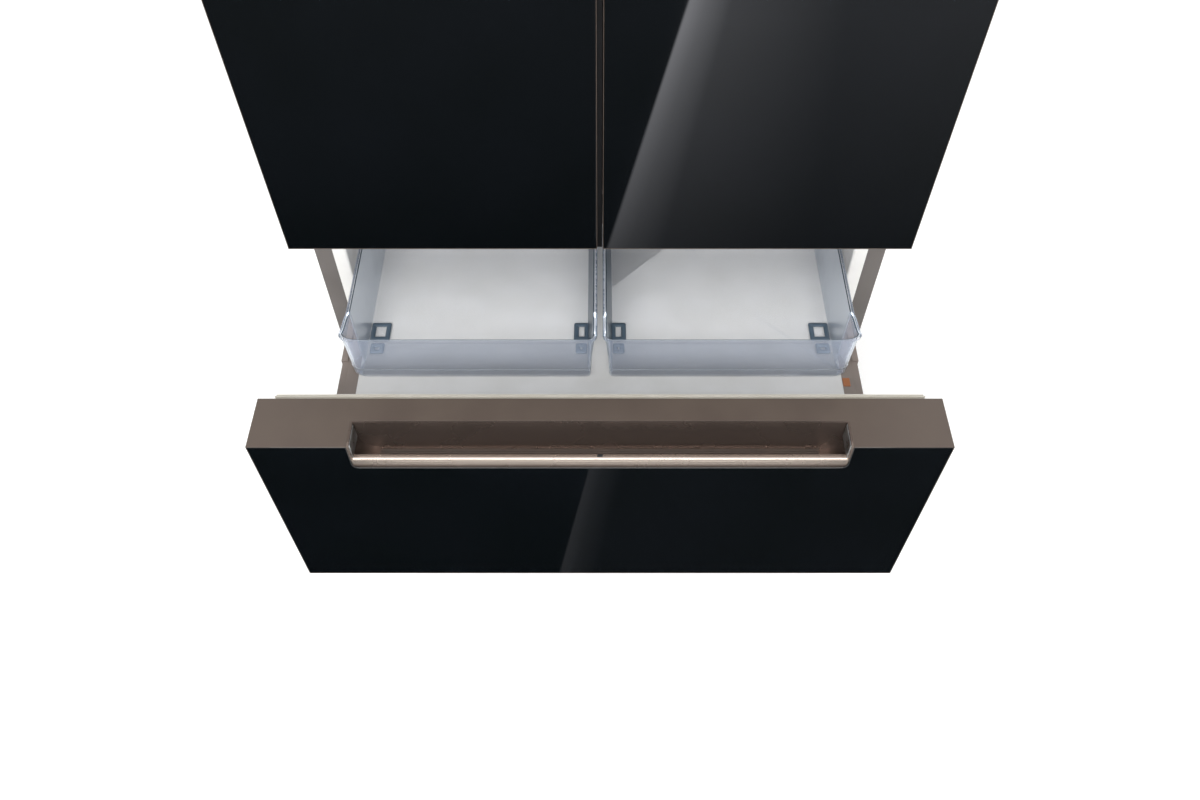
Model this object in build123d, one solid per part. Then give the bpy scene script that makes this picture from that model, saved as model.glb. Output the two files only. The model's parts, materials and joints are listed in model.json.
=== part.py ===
from build123d import *

import os

# A refrigerator with two hinged doors over two full-width freezer drawers.
# Millimetres, +Z up, +X to the right seen from the front, +Y towards the back.
# Depths are measured back from the face of the closed doors and drawers.
# Levels with the ending _drop are measured down from the top edge of a drawer front.
# The origin is on the floor, under the middle of the part with its upper drawer drawn out.

# Overall sizes
overall_width = 908
overall_depth = 740
cabinet_top_gap = 15
cabinet_bottom = 30
upper_drawer_open = 331

# Stack of fronts
floor_to_fronts = 45
drawer_front_height = 354
door_height = 1009
front_gap = 24
door_centre_gap = 8

# Front panels
front_thickness = 78
glass_thickness = 4
trim_lip = 0.8
frame_wall = 12
gasket_width = 14
gasket_depth = 14.7
door_gasket_inset = 16
door_gasket_inset_height = 10
drawer_gasket_inset = 18.5
drawer_gasket_inset_height = 8

# Cabinet
gasket_gap = 0.3
rim_width = 28
rim_height_top = 42
shell_sheet = 1
liner_wall = 2.5
liner_flange = 22
seal_land = 8
fridge_floor_above_door_edge = 30
drawer_cavity_inset = 22
rear_wall = 50
lower_rear_wall = 28
cross_rail_depth = 20
cross_rail_sheet = 1.5
base_sheet = 2
machine_room_depth = 220
machine_room_height = 240

# Fits and cuts
running_gap = 0.5
pin_gap = 0.3
overrun = 2

# Door hinges
hinge_inset = 14
hinge_depth = 45
hinge_pin_radius = 5
hinge_pin_engagement = 10
hinge_hole_spare = 1
hinge_plate_thickness = 4
hinge_plate_inner_inset = 62
hinge_plate_front_margin = 15
hinge_plate_rear_margin = 72
hinge_plate_outer_inset = 3
hinge_edge_round = 3
hinge_collar_radius = 9
middle_hinge_level_drop = 8
middle_hinge_inner_inset = 42
middle_hinge_front_margin = 17
middle_hinge_tab_height = 26
hinge_cover_height = 25
hinge_cover_wall = 2
hinge_cover_round = 6
hinge_cover_margin = 5
screw_head_radius = 5
screw_head_height = 3
screw_shank_radius = 2.5
screw_pitch = 32
screw_rim_gap = 12

# Door inner panel, racks and finger grip
plateau_depth = 22
plateau_clearance = 8
plateau_round = 4
plateau_gasket_gap = 4
dyke_width = 18
dyke_depth = 50
grip_inset = 30
grip_width = 160
grip_front_depth = 22
grip_rear_depth = 58
grip_height = 25
grip_wall = 2
rack_depth = 88
rack_height = 82
rack_wall = 2.5
rack_round = 12
rack_level_shares = (0.297, 0.535, 0.773)

# Folding centre post on the left door
post_width = 54
post_thickness = 18
post_axis_inset = 19.5
post_axis_rim_gap = 14
post_pin_inset = 6
post_pin_radius = 3
post_pin_length = 7
post_end_gap = 2
post_tab_height = 6
post_tab_margin = 10
post_tab_root = 4
post_level_inset = 15
post_guide_width = 40
post_guide_length = 40
post_guide_height = 4
post_guide_rim_gap = 32

# Fridge compartment
shelf_front_gap = 112
shelf_rear_gap = 10
shelf_thickness = 4
shelf_trim_height = 14
shelf_trim_depth = 10
shelf_side_gap = 2
shelf_rib_width = 6
shelf_rib_height = 6
crisper_cover_share = 0.234
middle_shelf_share = 0.507
upper_shelf_share = 0.772
crisper_front_gap = 132
crisper_rear_gap = 25
crisper_wall = 3
crisper_round = 10
crisper_centre_gap = 6
crisper_head_gap = 8
crisper_pull_width = 150
crisper_pull_height = 12
crisper_pull_depth = 9
divider_thickness = 6
divider_front_gap = 8
duct_width = 240
duct_thickness = 8
duct_slot_width = 70
duct_slot_height = 8
duct_slot_count = 5
lamp_width = 300
lamp_length = 80
lamp_height = 10
lamp_front_gap = 207
lamp_round = 3

# Pocket handle of a drawer
handle_width = 650
handle_rear_depth = 39
handle_wall = 2.5
handle_floor_drop = 57
handle_lip_top_drop = 28
handle_lip_bottom_drop = 48
handle_lip_thickness = 8.4
handle_lip_round = 5.5
handle_lip_rear_round = 0.5
handle_groove_gap = 0.3
handle_groove_width = 1.2
handle_groove_depth = 1
handle_end_round = 33
handle_notch_round = 8

# Drawer inner panel, arms and rails
drawer_plateau_gap = 4
drawer_plateau_depth = 30
drawer_plateau_round = 6
arm_width = 18
arm_top_drop = 146
arm_height = 34
arm_sheet = 2
rail_sheet = 1.5
inner_rail_width = 12
inner_rail_height = 26
fixed_rail_width = 8
fixed_rail_front_gap = 2
rail_rear_gap = 15

# Tray, bins and baskets of the drawers
tray_thickness = 3
tray_rib_height = 10
tray_rib_width = 3
tray_rib_count = 5
bin_front_gap = 147
bin_rear_gap = 20
bin_centre_gap = 8
bin_draft = 5
bin_wall = 3
bin_round = 14
bin_front_top_drop = 56
bin_side_top_drop = 29
bin_slope_start = 8
bin_slope_end = 22
bin_rim_width = 4
bin_rim_height = 3
bin_ear_reach = 15
bin_ear_length = 26
bin_ear_wall = 2.5
socket_width = 30
socket_length = 38
socket_height = 4
socket_wall = 6
socket_side_inset = 22
socket_front_inset = 22
basket_wall = 2.5
basket_round = 20
basket_side_gap = 2
basket_front_gap = 6
basket_rear_gap = 6
basket_floor_drop = 320
basket_draft = 8
basket_flange_height = 2.5
basket_flange_spare = 2
deep_bin_top_drop = 60
deep_bin_floor_drop = 322

# Base, feet and rollers
kick_side_inset = 14
kick_thickness = 5
kick_bottom = 8
kick_top_gap = 2
kick_slot_height = 5
kick_slot_width = 60
kick_slot_count = 9
foot_side_inset = 54
foot_rim_gap = 37
foot_disc_radius = 22
foot_disc_height = 8
foot_stem_radius = 6
foot_boss_radius = 12
foot_boss_drop = 16
roller_side_inset = 74
roller_rear_inset = 50
roller_radius = 13
roller_width = 24
roller_axle_radius = 4
roller_bracket_sheet = 3
roller_bracket_length = 26
roller_bracket_bottom = 6
roller_round = 2

# Cold circuit
evaporator_space = 100
evaporator_cover_sheet = 4
evaporator_side_gap = 104
evaporator_front_gap = 20
evaporator_length = 54
evaporator_bottom_gap = 25
evaporator_height = 150
evaporator_fin_count = 24
evaporator_fin_sheet = 1
evaporator_plate_sheet = 3
evaporator_tube_radius = 4
evaporator_tube_rows = 4
evaporator_tube_shares = (0.3, 0.7)
fan_tip_radius = 48
fan_hub_radius = 15
fan_hub_length = 18
fan_blade_sheet = 2
fan_blade_chord = 26
fan_blade_pitch = 32
fan_blade_count = 5
fan_shaft_radius = 3
fan_shaft_length = 34
fan_opening_gap = 5
evaporator_fan_drop = 58
evaporator_fan_gap = 24
motor_radius = 18
motor_length = 24
motor_start_gap = 3
motor_arm_width = 6
cover_slot_width = 120
cover_slot_height = 8
cover_slot_count = 4
compressor_side_inset = 224
compressor_front_gap = 110
compressor_radius = 72
compressor_body_height = 150
compressor_round = 38
compressor_plate_width = 190
compressor_plate_length = 130
compressor_plate_sheet = 4
compressor_foot_radius = 12
compressor_foot_height = 18
compressor_foot_inset = 18
compressor_box_size = 50
condenser_side_inset = 54
condenser_width = 220
condenser_front_gap = 40
condenser_length = 130
condenser_height = 170
condenser_plate_sheet = 2
condenser_tube_radius = 3
condenser_tube_rows = 6
condenser_tube_columns = 4
condenser_fan_gap = 110
condenser_fan_height = 100
motor_post_width = 16
room_cover_sheet = 2
room_cover_inset = 6
room_slot_width = 90
room_slot_height = 6
room_slot_rows = 6
room_slot_columns = 6
inlet_radius = 14
inlet_wall = 3
inlet_side_inset = 74

# Levels, depths and half sizes that follow
half_width = overall_width / 2
face_y = (upper_drawer_open - overall_depth) / 2
gasket_back_depth = front_thickness + gasket_depth
rim_depth = gasket_back_depth + gasket_gap
fridge_rear_depth = overall_depth - rear_wall
machine_room_front_depth = overall_depth - machine_room_depth
lower_rear_depth = machine_room_front_depth - base_sheet - lower_rear_wall
evaporator_cover_depth = fridge_rear_depth - evaporator_space
fixed_rail_start_depth = rim_depth + fixed_rail_front_gap
upper_rail_length = evaporator_cover_depth - rail_rear_gap - fixed_rail_start_depth
lower_rail_length = lower_rear_depth - rail_rear_gap - fixed_rail_start_depth
cavity_half = half_width - rim_width - liner_flange
flange_half = half_width - rim_width
lower_drawer_bottom = floor_to_fronts
lower_drawer_top = lower_drawer_bottom + drawer_front_height
upper_drawer_bottom = lower_drawer_top + front_gap
upper_drawer_top = upper_drawer_bottom + drawer_front_height
door_bottom = upper_drawer_top + front_gap
door_top = door_bottom + door_height
cabinet_height = door_top + cabinet_top_gap
fridge_bottom = door_bottom + fridge_floor_above_door_edge
fridge_top = cabinet_height - rim_height_top - seal_land
upper_cavity_bottom = upper_drawer_bottom + drawer_cavity_inset
upper_cavity_top = upper_drawer_top - drawer_cavity_inset
lower_cavity_bottom = lower_drawer_bottom + drawer_cavity_inset
lower_cavity_top = lower_drawer_top - drawer_cavity_inset
base_top = cabinet_bottom + base_sheet
machine_room_top = base_top + machine_room_height
hinge_x = half_width - hinge_inset
arm_outer_x = cavity_half - 2 * rail_sheet - 2 * running_gap - inner_rail_width
arm_inner_x = arm_outer_x - arm_width
plateau_back_depth = front_thickness + plateau_depth
plateau_near_x = door_centre_gap / 2 + door_gasket_inset + gasket_width + plateau_gasket_gap
plateau_far_x = cavity_half - plateau_clearance
middle_hinge_bottom = door_bottom - front_gap + middle_hinge_level_drop
hinge_plate_front_depth = hinge_depth - hinge_plate_front_margin
hinge_plate_rear_depth = rim_depth + hinge_plate_rear_margin
post_axis_x = -door_centre_gap / 2 - post_axis_inset
post_axis_depth = rim_depth + post_axis_rim_gap
shelf_front_depth = rim_depth + shelf_front_gap
shelf_rear_depth = fridge_rear_depth - shelf_rear_gap
crisper_cover_level = (fridge_top - fridge_bottom) * crisper_cover_share
middle_shelf_level = (fridge_top - fridge_bottom) * middle_shelf_share
upper_shelf_level = (fridge_top - fridge_bottom) * upper_shelf_share
foot_x = half_width - foot_side_inset
foot_depth = rim_depth + foot_rim_gap
roller_x = half_width - roller_side_inset
roller_depth = overall_depth - roller_rear_inset

parts = {}


def block(x_range, depth_range, z_range):
    """A box between two places on each axis, its depths counted from the closed fronts."""
    x_low, x_high = sorted(x_range)
    depth_low, depth_high = depth_range
    z_low, z_high = z_range
    size = Box(
        x_high - x_low,
        depth_high - depth_low,
        z_high - z_low,
        align=(Align.MIN, Align.MIN, Align.MIN),
    )
    return Pos(x_low, face_y + depth_low, z_low) * size


def centred(half, depth_range, z_range):
    """A box that reaches as far to the left as to the right."""
    return block((-half, half), depth_range, z_range)


def post(x, depth, radius, z_range):
    """An upright cylinder."""
    z_low, z_high = z_range
    column = Cylinder(radius, z_high - z_low, align=(Align.CENTER, Align.CENTER, Align.MIN))
    return Pos(x, face_y + depth, z_low) * column


def rod(x_range, depth, z, radius):
    """A cylinder that lies along X."""
    x_low, x_high = sorted(x_range)
    bar = Cylinder(radius, x_high - x_low, align=(Align.CENTER, Align.CENTER, Align.MIN))
    return Pos(x_low, face_y + depth, z) * Rot(0, 90, 0) * bar


def spindle(x, depth_range, z, radius):
    """A cylinder that lies along Y."""
    depth_low, depth_high = depth_range
    bar = Cylinder(radius, depth_high - depth_low, align=(Align.CENTER, Align.CENTER, Align.MIN))
    return Pos(x, face_y + depth_low, z) * Rot(-90, 0, 0) * bar


def other_side(shape):
    """The same piece on the left."""
    return mirror(shape, about=Plane.YZ)


def rounded(shape, axis, radius, keep=None):
    """Rounds the edges along one axis, or those of them that keep picks out."""
    edges = shape.edges().filter_by(axis)
    if keep is not None:
        edges = [edge for edge in edges if keep(edge.center())]
    return fillet(edges, radius)


def drafted(x_range, depth_range, z_range, draft, corner):
    """A block with rounded upright corners whose sides lean out towards the top."""
    x_low, x_high = sorted(x_range)
    depth_low, depth_high = depth_range
    middle_x = (x_low + x_high) / 2
    middle_y = face_y + (depth_low + depth_high) / 2
    sections = []
    for z, shrink in ((z_range[0], draft), (z_range[1], 0)):
        outline = RectangleRounded(
            x_high - x_low - 2 * shrink,
            depth_high - depth_low - 2 * shrink,
            corner,
        )
        sections.append(Pos(middle_x, middle_y, z) * outline)
    return loft(sections, ruled=True)


def tub(x_range, depth_range, z_range, wall, draft, corner):
    """An open box with leaning sides, a floor and rounded upright corners."""
    x_low, x_high = sorted(x_range)
    outside = drafted(x_range, depth_range, z_range, draft, corner)
    inside = drafted(
        (x_low + wall, x_high - wall),
        (depth_range[0] + wall, depth_range[1] - wall),
        (z_range[0] + wall, z_range[1] + overrun),
        draft,
        corner - wall,
    )
    return outside - inside


def ring(x_range, depth_range, z_range, width):
    """A rectangular ring that faces forwards."""
    x_low, x_high = sorted(x_range)
    outside = block(x_range, depth_range, z_range)
    inside = block(
        (x_low + width, x_high - width),
        (depth_range[0] - overrun, depth_range[1] + overrun),
        (z_range[0] + width, z_range[1] - width),
    )
    return outside - inside


def fan():
    """A fan wheel at the origin, blowing along Z, with its shaft up."""
    hub = Cylinder(fan_hub_radius, fan_hub_length)
    wheel = hub + Cylinder(
        fan_shaft_radius, fan_shaft_length, align=(Align.CENTER, Align.CENTER, Align.MIN)
    )
    blade_reach = fan_tip_radius - fan_hub_radius / 2
    blade_middle = (fan_tip_radius + fan_hub_radius / 2) / 2
    blade = Pos(blade_middle, 0, 0) * Rot(fan_blade_pitch, 0, 0) * Box(
        blade_reach, fan_blade_chord, fan_blade_sheet
    )
    for step in range(fan_blade_count):
        wheel += Rot(0, 0, 360 * step / fan_blade_count) * blade
    return wheel


def save(name, *shapes):
    """Keeps the solids of one sub-part under its name."""
    parts[name] = [solid for shape in shapes for solid in shape.solids()]


# Cabinet shell, folded from one steel sheet, with a rim around the front
shell_outside = centred(half_width, (rim_depth, overall_depth), (cabinet_bottom, cabinet_height))
shell_inside = centred(
    half_width - shell_sheet,
    (rim_depth + shell_sheet, overall_depth + overrun),
    (cabinet_bottom - overrun, cabinet_height - shell_sheet),
)
shell_window = centred(
    flange_half,
    (rim_depth - overrun, rim_depth + overrun),
    (cabinet_bottom - overrun, cabinet_height - rim_height_top),
)
save("outer_shell", shell_outside - shell_inside - shell_window)

save(
    "back_panel",
    centred(
        half_width - shell_sheet,
        (overall_depth - shell_sheet, overall_depth),
        (machine_room_top + base_sheet, cabinet_height - shell_sheet),
    ),
)


# Liners, drawn from white plastic sheet, one for each compartment
def liner_envelope(z_low, z_high, rear_depth):
    """The space that a liner takes, with its front flange."""
    body = centred(
        cavity_half + liner_wall,
        (rim_depth, rear_depth + liner_wall),
        (z_low - liner_wall, z_high + liner_wall),
    )
    flange = centred(
        flange_half,
        (rim_depth, rim_depth + liner_wall),
        (z_low - seal_land, z_high + seal_land),
    )
    return body + flange


def liner_cavity(z_low, z_high, rear_depth):
    """The space inside a liner."""
    return centred(cavity_half, (rim_depth - overrun, rear_depth), (z_low, z_high))


fridge_space = (fridge_bottom, fridge_top, fridge_rear_depth)
upper_space = (upper_cavity_bottom, upper_cavity_top, fridge_rear_depth)
lower_space = (lower_cavity_bottom, lower_cavity_top, lower_rear_depth)

fridge_liner = liner_envelope(*fridge_space) - liner_cavity(*fridge_space)
for level in (crisper_cover_level, middle_shelf_level, upper_shelf_level):
    for side in (-1, 1):
        fridge_liner += block(
            (side * (cavity_half - shelf_rib_width), side * (cavity_half + liner_wall)),
            (shelf_front_depth, shelf_rear_depth),
            (fridge_bottom + level - shelf_rib_height, fridge_bottom + level),
        )
fridge_liner += centred(
    post_guide_width / 2,
    (rim_depth + post_guide_rim_gap, rim_depth + post_guide_rim_gap + post_guide_length),
    (fridge_top - post_guide_height, fridge_top + liner_wall),
)
save("fridge_liner", fridge_liner)
save("upper_freezer_liner", liner_envelope(*upper_space) - liner_cavity(*upper_space))
save("lower_freezer_liner", liner_envelope(*lower_space) - liner_cavity(*lower_space))

# Steel rails across the front, between the compartments
rail_bands = [
    (lower_cavity_top + seal_land, upper_cavity_bottom - seal_land),
    (upper_cavity_top + seal_land, fridge_bottom - seal_land),
]
cross_rails = []
cross_rail_spaces = []
for z_low, z_high in rail_bands:
    rail_space = centred(flange_half, (rim_depth, rim_depth + cross_rail_depth), (z_low, z_high))
    hollow = centred(
        flange_half - cross_rail_sheet,
        (rim_depth + cross_rail_sheet, rim_depth + cross_rail_depth + overrun),
        (z_low + cross_rail_sheet, z_high - cross_rail_sheet),
    )
    cross_rail_spaces.append(rail_space)
    cross_rails.append(rail_space - hollow)
save("cross_rails", *cross_rails)

# Base of pressed steel, with the step over the machine room
base_frame = centred(
    half_width - shell_sheet,
    (rim_depth + shell_sheet, overall_depth - shell_sheet),
    (cabinet_bottom, base_top),
)
base_frame += centred(
    flange_half,
    (rim_depth, rim_depth + base_sheet),
    (cabinet_bottom, lower_cavity_bottom - seal_land),
)
base_frame += centred(
    half_width - shell_sheet,
    (machine_room_front_depth - base_sheet, machine_room_front_depth),
    (cabinet_bottom, machine_room_top + base_sheet),
)
base_frame += centred(
    half_width - shell_sheet,
    (machine_room_front_depth - base_sheet, overall_depth - shell_sheet),
    (machine_room_top, machine_room_top + base_sheet),
)
foot_boss_bottom = cabinet_bottom - foot_boss_drop
for side in (-1, 1):
    base_frame += post(side * foot_x, foot_depth, foot_boss_radius, (foot_boss_bottom, base_top))
    base_frame -= post(
        side * foot_x,
        foot_depth,
        foot_stem_radius + pin_gap,
        (foot_boss_bottom - overrun, base_top + overrun),
    )
    for plate_side in (-1, 1):
        plate_near = side * roller_x + plate_side * (roller_width / 2 + 2 * running_gap)
        base_frame += block(
            (plate_near, plate_near + plate_side * roller_bracket_sheet),
            (roller_depth - roller_bracket_length / 2, roller_depth + roller_bracket_length / 2),
            (roller_bracket_bottom, base_top),
        )
    bracket_reach = roller_width + roller_bracket_sheet
    base_frame -= rod(
        (side * roller_x - bracket_reach, side * roller_x + bracket_reach),
        roller_depth,
        roller_radius,
        roller_axle_radius + pin_gap,
    )
fan_centre_z = base_top + condenser_fan_height
condenser_x_near = half_width - condenser_side_inset - condenser_width
condenser_fan_x = condenser_fan_gap - condenser_x_near
condenser_fan_depth = machine_room_front_depth + compressor_front_gap
motor_near = condenser_fan_x + fan_hub_length / 2 + motor_start_gap
base_frame += block(
    (motor_near + motor_start_gap, motor_near + motor_length - motor_start_gap),
    (condenser_fan_depth - motor_post_width / 2, condenser_fan_depth + motor_post_width / 2),
    (cabinet_bottom, fan_centre_z),
)
base_frame += rod(
    (motor_near, motor_near + motor_length), condenser_fan_depth, fan_centre_z, motor_radius
)
base_frame -= rod(
    (motor_near - overrun, motor_near + motor_length + overrun),
    condenser_fan_depth,
    fan_centre_z,
    fan_shaft_radius + pin_gap,
)
save("base_frame", base_frame)

# Foam that fills the walls between the shell and the liners
foam = centred(
    half_width - shell_sheet,
    (rim_depth + shell_sheet, overall_depth - shell_sheet),
    (base_top, cabinet_height - shell_sheet),
)
foam -= centred(
    half_width,
    (machine_room_front_depth - base_sheet, overall_depth),
    (cabinet_bottom, machine_room_top + base_sheet),
)
foam -= centred(
    flange_half,
    (rim_depth, rim_depth + base_sheet),
    (cabinet_bottom, lower_cavity_bottom - seal_land),
)
for space in (fridge_space, upper_space, lower_space):
    foam -= liner_envelope(*space)
for space in cross_rail_spaces:
    foam -= space
save("insulation_foam", foam)

# Toe grille under the lower drawer
kick_width = overall_width - 2 * kick_side_inset
kick_top = floor_to_fronts - kick_top_gap
kick_plate = centred(
    kick_width / 2, (rim_depth - kick_thickness, rim_depth), (kick_bottom, kick_top)
)
kick_slot_z = (kick_bottom + cabinet_bottom) / 2
for step in range(kick_slot_count):
    slot_x = kick_width * ((step + 0.5) / kick_slot_count - 0.5)
    kick_plate -= block(
        (slot_x - kick_slot_width / 2, slot_x + kick_slot_width / 2),
        (rim_depth - kick_thickness - overrun, rim_depth + overrun),
        (kick_slot_z - kick_slot_height / 2, kick_slot_z + kick_slot_height / 2),
    )
save("kick_plate", kick_plate)

# Levelling feet and rear rollers
foot = post(foot_x, foot_depth, foot_disc_radius, (0, foot_disc_height))
foot += post(foot_x, foot_depth, foot_stem_radius, (foot_disc_height, cabinet_bottom))
save("front_foot_right", foot)
save("front_foot_left", other_side(foot))

axle_half = roller_width / 2 + roller_bracket_sheet + 2 * running_gap
roller = rod(
    (roller_x - roller_width / 2, roller_x + roller_width / 2),
    roller_depth,
    roller_radius,
    roller_radius,
)
roller = fillet(roller.edges().filter_by(GeomType.CIRCLE), roller_round)
roller += rod(
    (roller_x - axle_half, roller_x + axle_half), roller_depth, roller_radius, roller_axle_radius
)
save("rear_rollers", roller, other_side(roller))


# Hinges: a plate on the cabinet top and a bracket in the gap under each door
def top_hinge():
    """The right upper hinge, with its pin into the door."""
    plate = block(
        (half_width - hinge_plate_inner_inset, half_width - hinge_plate_outer_inset),
        (hinge_plate_front_depth, hinge_plate_rear_depth),
        (cabinet_height, cabinet_height + hinge_plate_thickness),
    )
    plate = rounded(plate, Axis.Z, hinge_edge_round)
    for depth in screw_depths:
        plate -= post(
            screw_x,
            depth,
            screw_shank_radius + pin_gap,
            (cabinet_height - overrun, cabinet_height + hinge_plate_thickness + overrun),
        )
    return plate + post(
        hinge_x,
        hinge_depth,
        hinge_pin_radius,
        (door_top - hinge_pin_engagement, cabinet_height + hinge_plate_thickness / 2),
    )


def middle_hinge():
    """The right lower hinge, with a collar that carries the door."""
    bracket = block(
        (half_width - middle_hinge_inner_inset, half_width - hinge_plate_outer_inset),
        (hinge_depth - middle_hinge_front_margin, rim_depth),
        (middle_hinge_bottom, middle_hinge_bottom + hinge_plate_thickness),
    )
    bracket = rounded(bracket, Axis.Z, hinge_edge_round)
    tab_middle = (middle_hinge_bottom * 2 + hinge_plate_thickness) / 2
    bracket += block(
        (half_width - middle_hinge_inner_inset, half_width - hinge_plate_outer_inset),
        (rim_depth - hinge_plate_thickness, rim_depth),
        (tab_middle - middle_hinge_tab_height / 2, tab_middle + middle_hinge_tab_height / 2),
    )
    bracket += post(
        hinge_x, hinge_depth, hinge_collar_radius, (middle_hinge_bottom, door_bottom - pin_gap)
    )
    return bracket + post(
        hinge_x,
        hinge_depth,
        hinge_pin_radius,
        (middle_hinge_bottom, door_bottom + hinge_pin_engagement),
    )


def screw(depth):
    """One hinge screw on the right, head and shank."""
    plate_top = cabinet_height + hinge_plate_thickness
    head = post(screw_x, depth, screw_head_radius, (plate_top, plate_top + screw_head_height))
    return head + post(screw_x, depth, screw_shank_radius, (cabinet_height, plate_top))


def hinge_cover():
    """The right cap over a top hinge."""
    cap = block(
        (half_width - hinge_plate_inner_inset - hinge_cover_margin, half_width),
        (hinge_plate_front_depth - hinge_cover_margin, hinge_plate_rear_depth + hinge_cover_margin),
        (cabinet_height, cabinet_height + hinge_cover_height),
    )
    cap = rounded(cap, Axis.Z, hinge_cover_round)
    return cap - block(
        (
            half_width - hinge_plate_inner_inset - hinge_cover_margin + hinge_cover_wall,
            half_width - hinge_cover_wall,
        ),
        (
            hinge_plate_front_depth - hinge_cover_margin + hinge_cover_wall,
            hinge_plate_rear_depth + hinge_cover_margin - hinge_cover_wall,
        ),
        (cabinet_height - overrun, cabinet_height + hinge_cover_height - hinge_cover_wall),
    )


screw_x = half_width - hinge_plate_inner_inset / 2
screw_depths = [rim_depth + screw_rim_gap, rim_depth + screw_rim_gap + screw_pitch]
save(
    "door_hinges",
    top_hinge(),
    other_side(top_hinge()),
    middle_hinge(),
    other_side(middle_hinge()),
)
right_screws = [screw(depth) for depth in screw_depths]
save("hinge_screws", *right_screws, *[other_side(piece) for piece in right_screws])
save("hinge_covers", hinge_cover(), other_side(hinge_cover()))


# Doors
door_x = (door_centre_gap / 2, half_width)
door_z = (door_bottom, door_top)
grip_x = (door_x[0] + grip_inset, door_x[0] + grip_inset + grip_width)
grip_shell = block(
    (grip_x[0] - grip_wall, grip_x[1] + grip_wall),
    (grip_front_depth - grip_wall, grip_rear_depth + grip_wall),
    (door_bottom, door_bottom + grip_height + grip_wall),
)


def panel_frame(x_range, z_range):
    """The trim around a front, with a seat for its glass."""
    frame = ring(x_range, (0, front_thickness), z_range, frame_wall)
    return frame - block(
        (x_range[0] + trim_lip, x_range[1] - trim_lip),
        (-overrun, glass_thickness),
        (z_range[0] + trim_lip, z_range[1] - trim_lip),
    )


def panel_glass(x_range, z_range):
    """The glass pane of a front."""
    return block(
        (x_range[0] + trim_lip, x_range[1] - trim_lip),
        (0, glass_thickness),
        (z_range[0] + trim_lip, z_range[1] - trim_lip),
    )


def panel_core(x_range, z_range):
    """The foamed filling of a front, behind the glass."""
    return block(
        (x_range[0] + frame_wall, x_range[1] - frame_wall),
        (glass_thickness, front_thickness),
        (z_range[0] + frame_wall, z_range[1] - frame_wall),
    )


def door_frame():
    """The right door's trim, with hinge holes and a finger grip in its lower edge."""
    frame = panel_frame(door_x, door_z)
    hole_depth = hinge_pin_engagement + hinge_hole_spare
    for z_range in (
        (door_bottom - overrun, door_bottom + hole_depth),
        (door_top - hole_depth, door_top + overrun),
    ):
        frame -= post(hinge_x, hinge_depth, hinge_pin_radius + pin_gap, z_range)
    frame += grip_shell
    return frame - block(
        grip_x,
        (grip_front_depth, grip_rear_depth),
        (door_bottom - overrun, door_bottom + grip_height),
    )


def door_liner():
    """The right door's foamed core, raised inner panel and the two dykes that hold the racks."""
    panel_z = (fridge_bottom + plateau_clearance, fridge_top - plateau_clearance)
    panel = block(
        (plateau_near_x, plateau_far_x), (front_thickness, plateau_back_depth), panel_z
    )
    panel = rounded(panel, Axis.Y, plateau_round)
    for x_range in (
        (plateau_near_x, plateau_near_x + dyke_width),
        (plateau_far_x - dyke_width, plateau_far_x),
    ):
        dyke = block(x_range, (front_thickness, plateau_back_depth + dyke_depth), panel_z)
        panel += rounded(dyke, Axis.Y, plateau_round)
    return panel + panel_core(door_x, door_z) - grip_shell


def door_gasket():
    """The right door's magnetic gasket."""
    return ring(
        (door_x[0] + door_gasket_inset, door_x[1] - door_gasket_inset),
        (front_thickness, gasket_back_depth),
        (door_bottom + door_gasket_inset_height, door_top - door_gasket_inset_height),
        gasket_width,
    )


def door_racks():
    """The right door's three racks, held between the dykes."""
    return [
        tub(
            (plateau_near_x + dyke_width, plateau_far_x - dyke_width),
            (plateau_back_depth, plateau_back_depth + rack_depth),
            (
                door_bottom + door_height * share,
                door_bottom + door_height * share + rack_height,
            ),
            rack_wall,
            0,
            rack_round,
        )
        for share in rack_level_shares
    ]


post_z = (fridge_bottom + post_level_inset, fridge_top - post_level_inset)
post_tab_bands = [
    (post_z[0] - post_end_gap - post_tab_height, post_z[0] - post_end_gap),
    (post_z[1] + post_end_gap, post_z[1] + post_end_gap + post_tab_height),
]
left_liner = other_side(door_liner())
for z_low, z_high in post_tab_bands:
    left_liner += block(
        (-plateau_near_x - post_tab_root, post_axis_x + post_tab_margin),
        (post_axis_depth - post_tab_margin, post_axis_depth + post_tab_margin),
        (z_low, z_high),
    )
    left_liner -= post(
        post_axis_x,
        post_axis_depth,
        post_pin_radius + pin_gap,
        (z_low - overrun, z_high + overrun),
    )

save("right_door_glass", panel_glass(door_x, door_z))
save("right_door_frame", door_frame())
save("right_door_liner", door_liner())
save("right_door_gasket", door_gasket())
save("right_door_racks", *door_racks())
save("left_door_glass", other_side(panel_glass(door_x, door_z)))
save("left_door_frame", other_side(door_frame()))
save("left_door_liner", left_liner)
save("left_door_gasket", other_side(door_gasket()))
save("left_door_racks", *[other_side(rack) for rack in door_racks()])

# The centre post that flips across the gap between the doors, shown folded back
centre_post = block(
    (post_axis_x - post_pin_inset, post_axis_x - post_pin_inset + post_thickness),
    (post_axis_depth - post_pin_inset, post_axis_depth - post_pin_inset + post_width),
    post_z,
)
centre_post += post(
    post_axis_x,
    post_axis_depth,
    post_pin_radius,
    (post_z[0] - post_pin_length, post_z[1] + post_pin_length),
)
save("centre_post", centre_post)


# Shelves, crispers, air duct and lamp of the fridge compartment
def shelf(level):
    """A glass shelf with a trim along its front."""
    top = fridge_bottom + level + shelf_thickness
    plate = centred(
        cavity_half - shelf_side_gap,
        (shelf_front_depth, shelf_rear_depth),
        (fridge_bottom + level, top),
    )
    return plate + centred(
        cavity_half - shelf_side_gap - shelf_rib_width,
        (shelf_front_depth, shelf_front_depth + shelf_trim_depth),
        (top - shelf_trim_height, top),
    )


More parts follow.
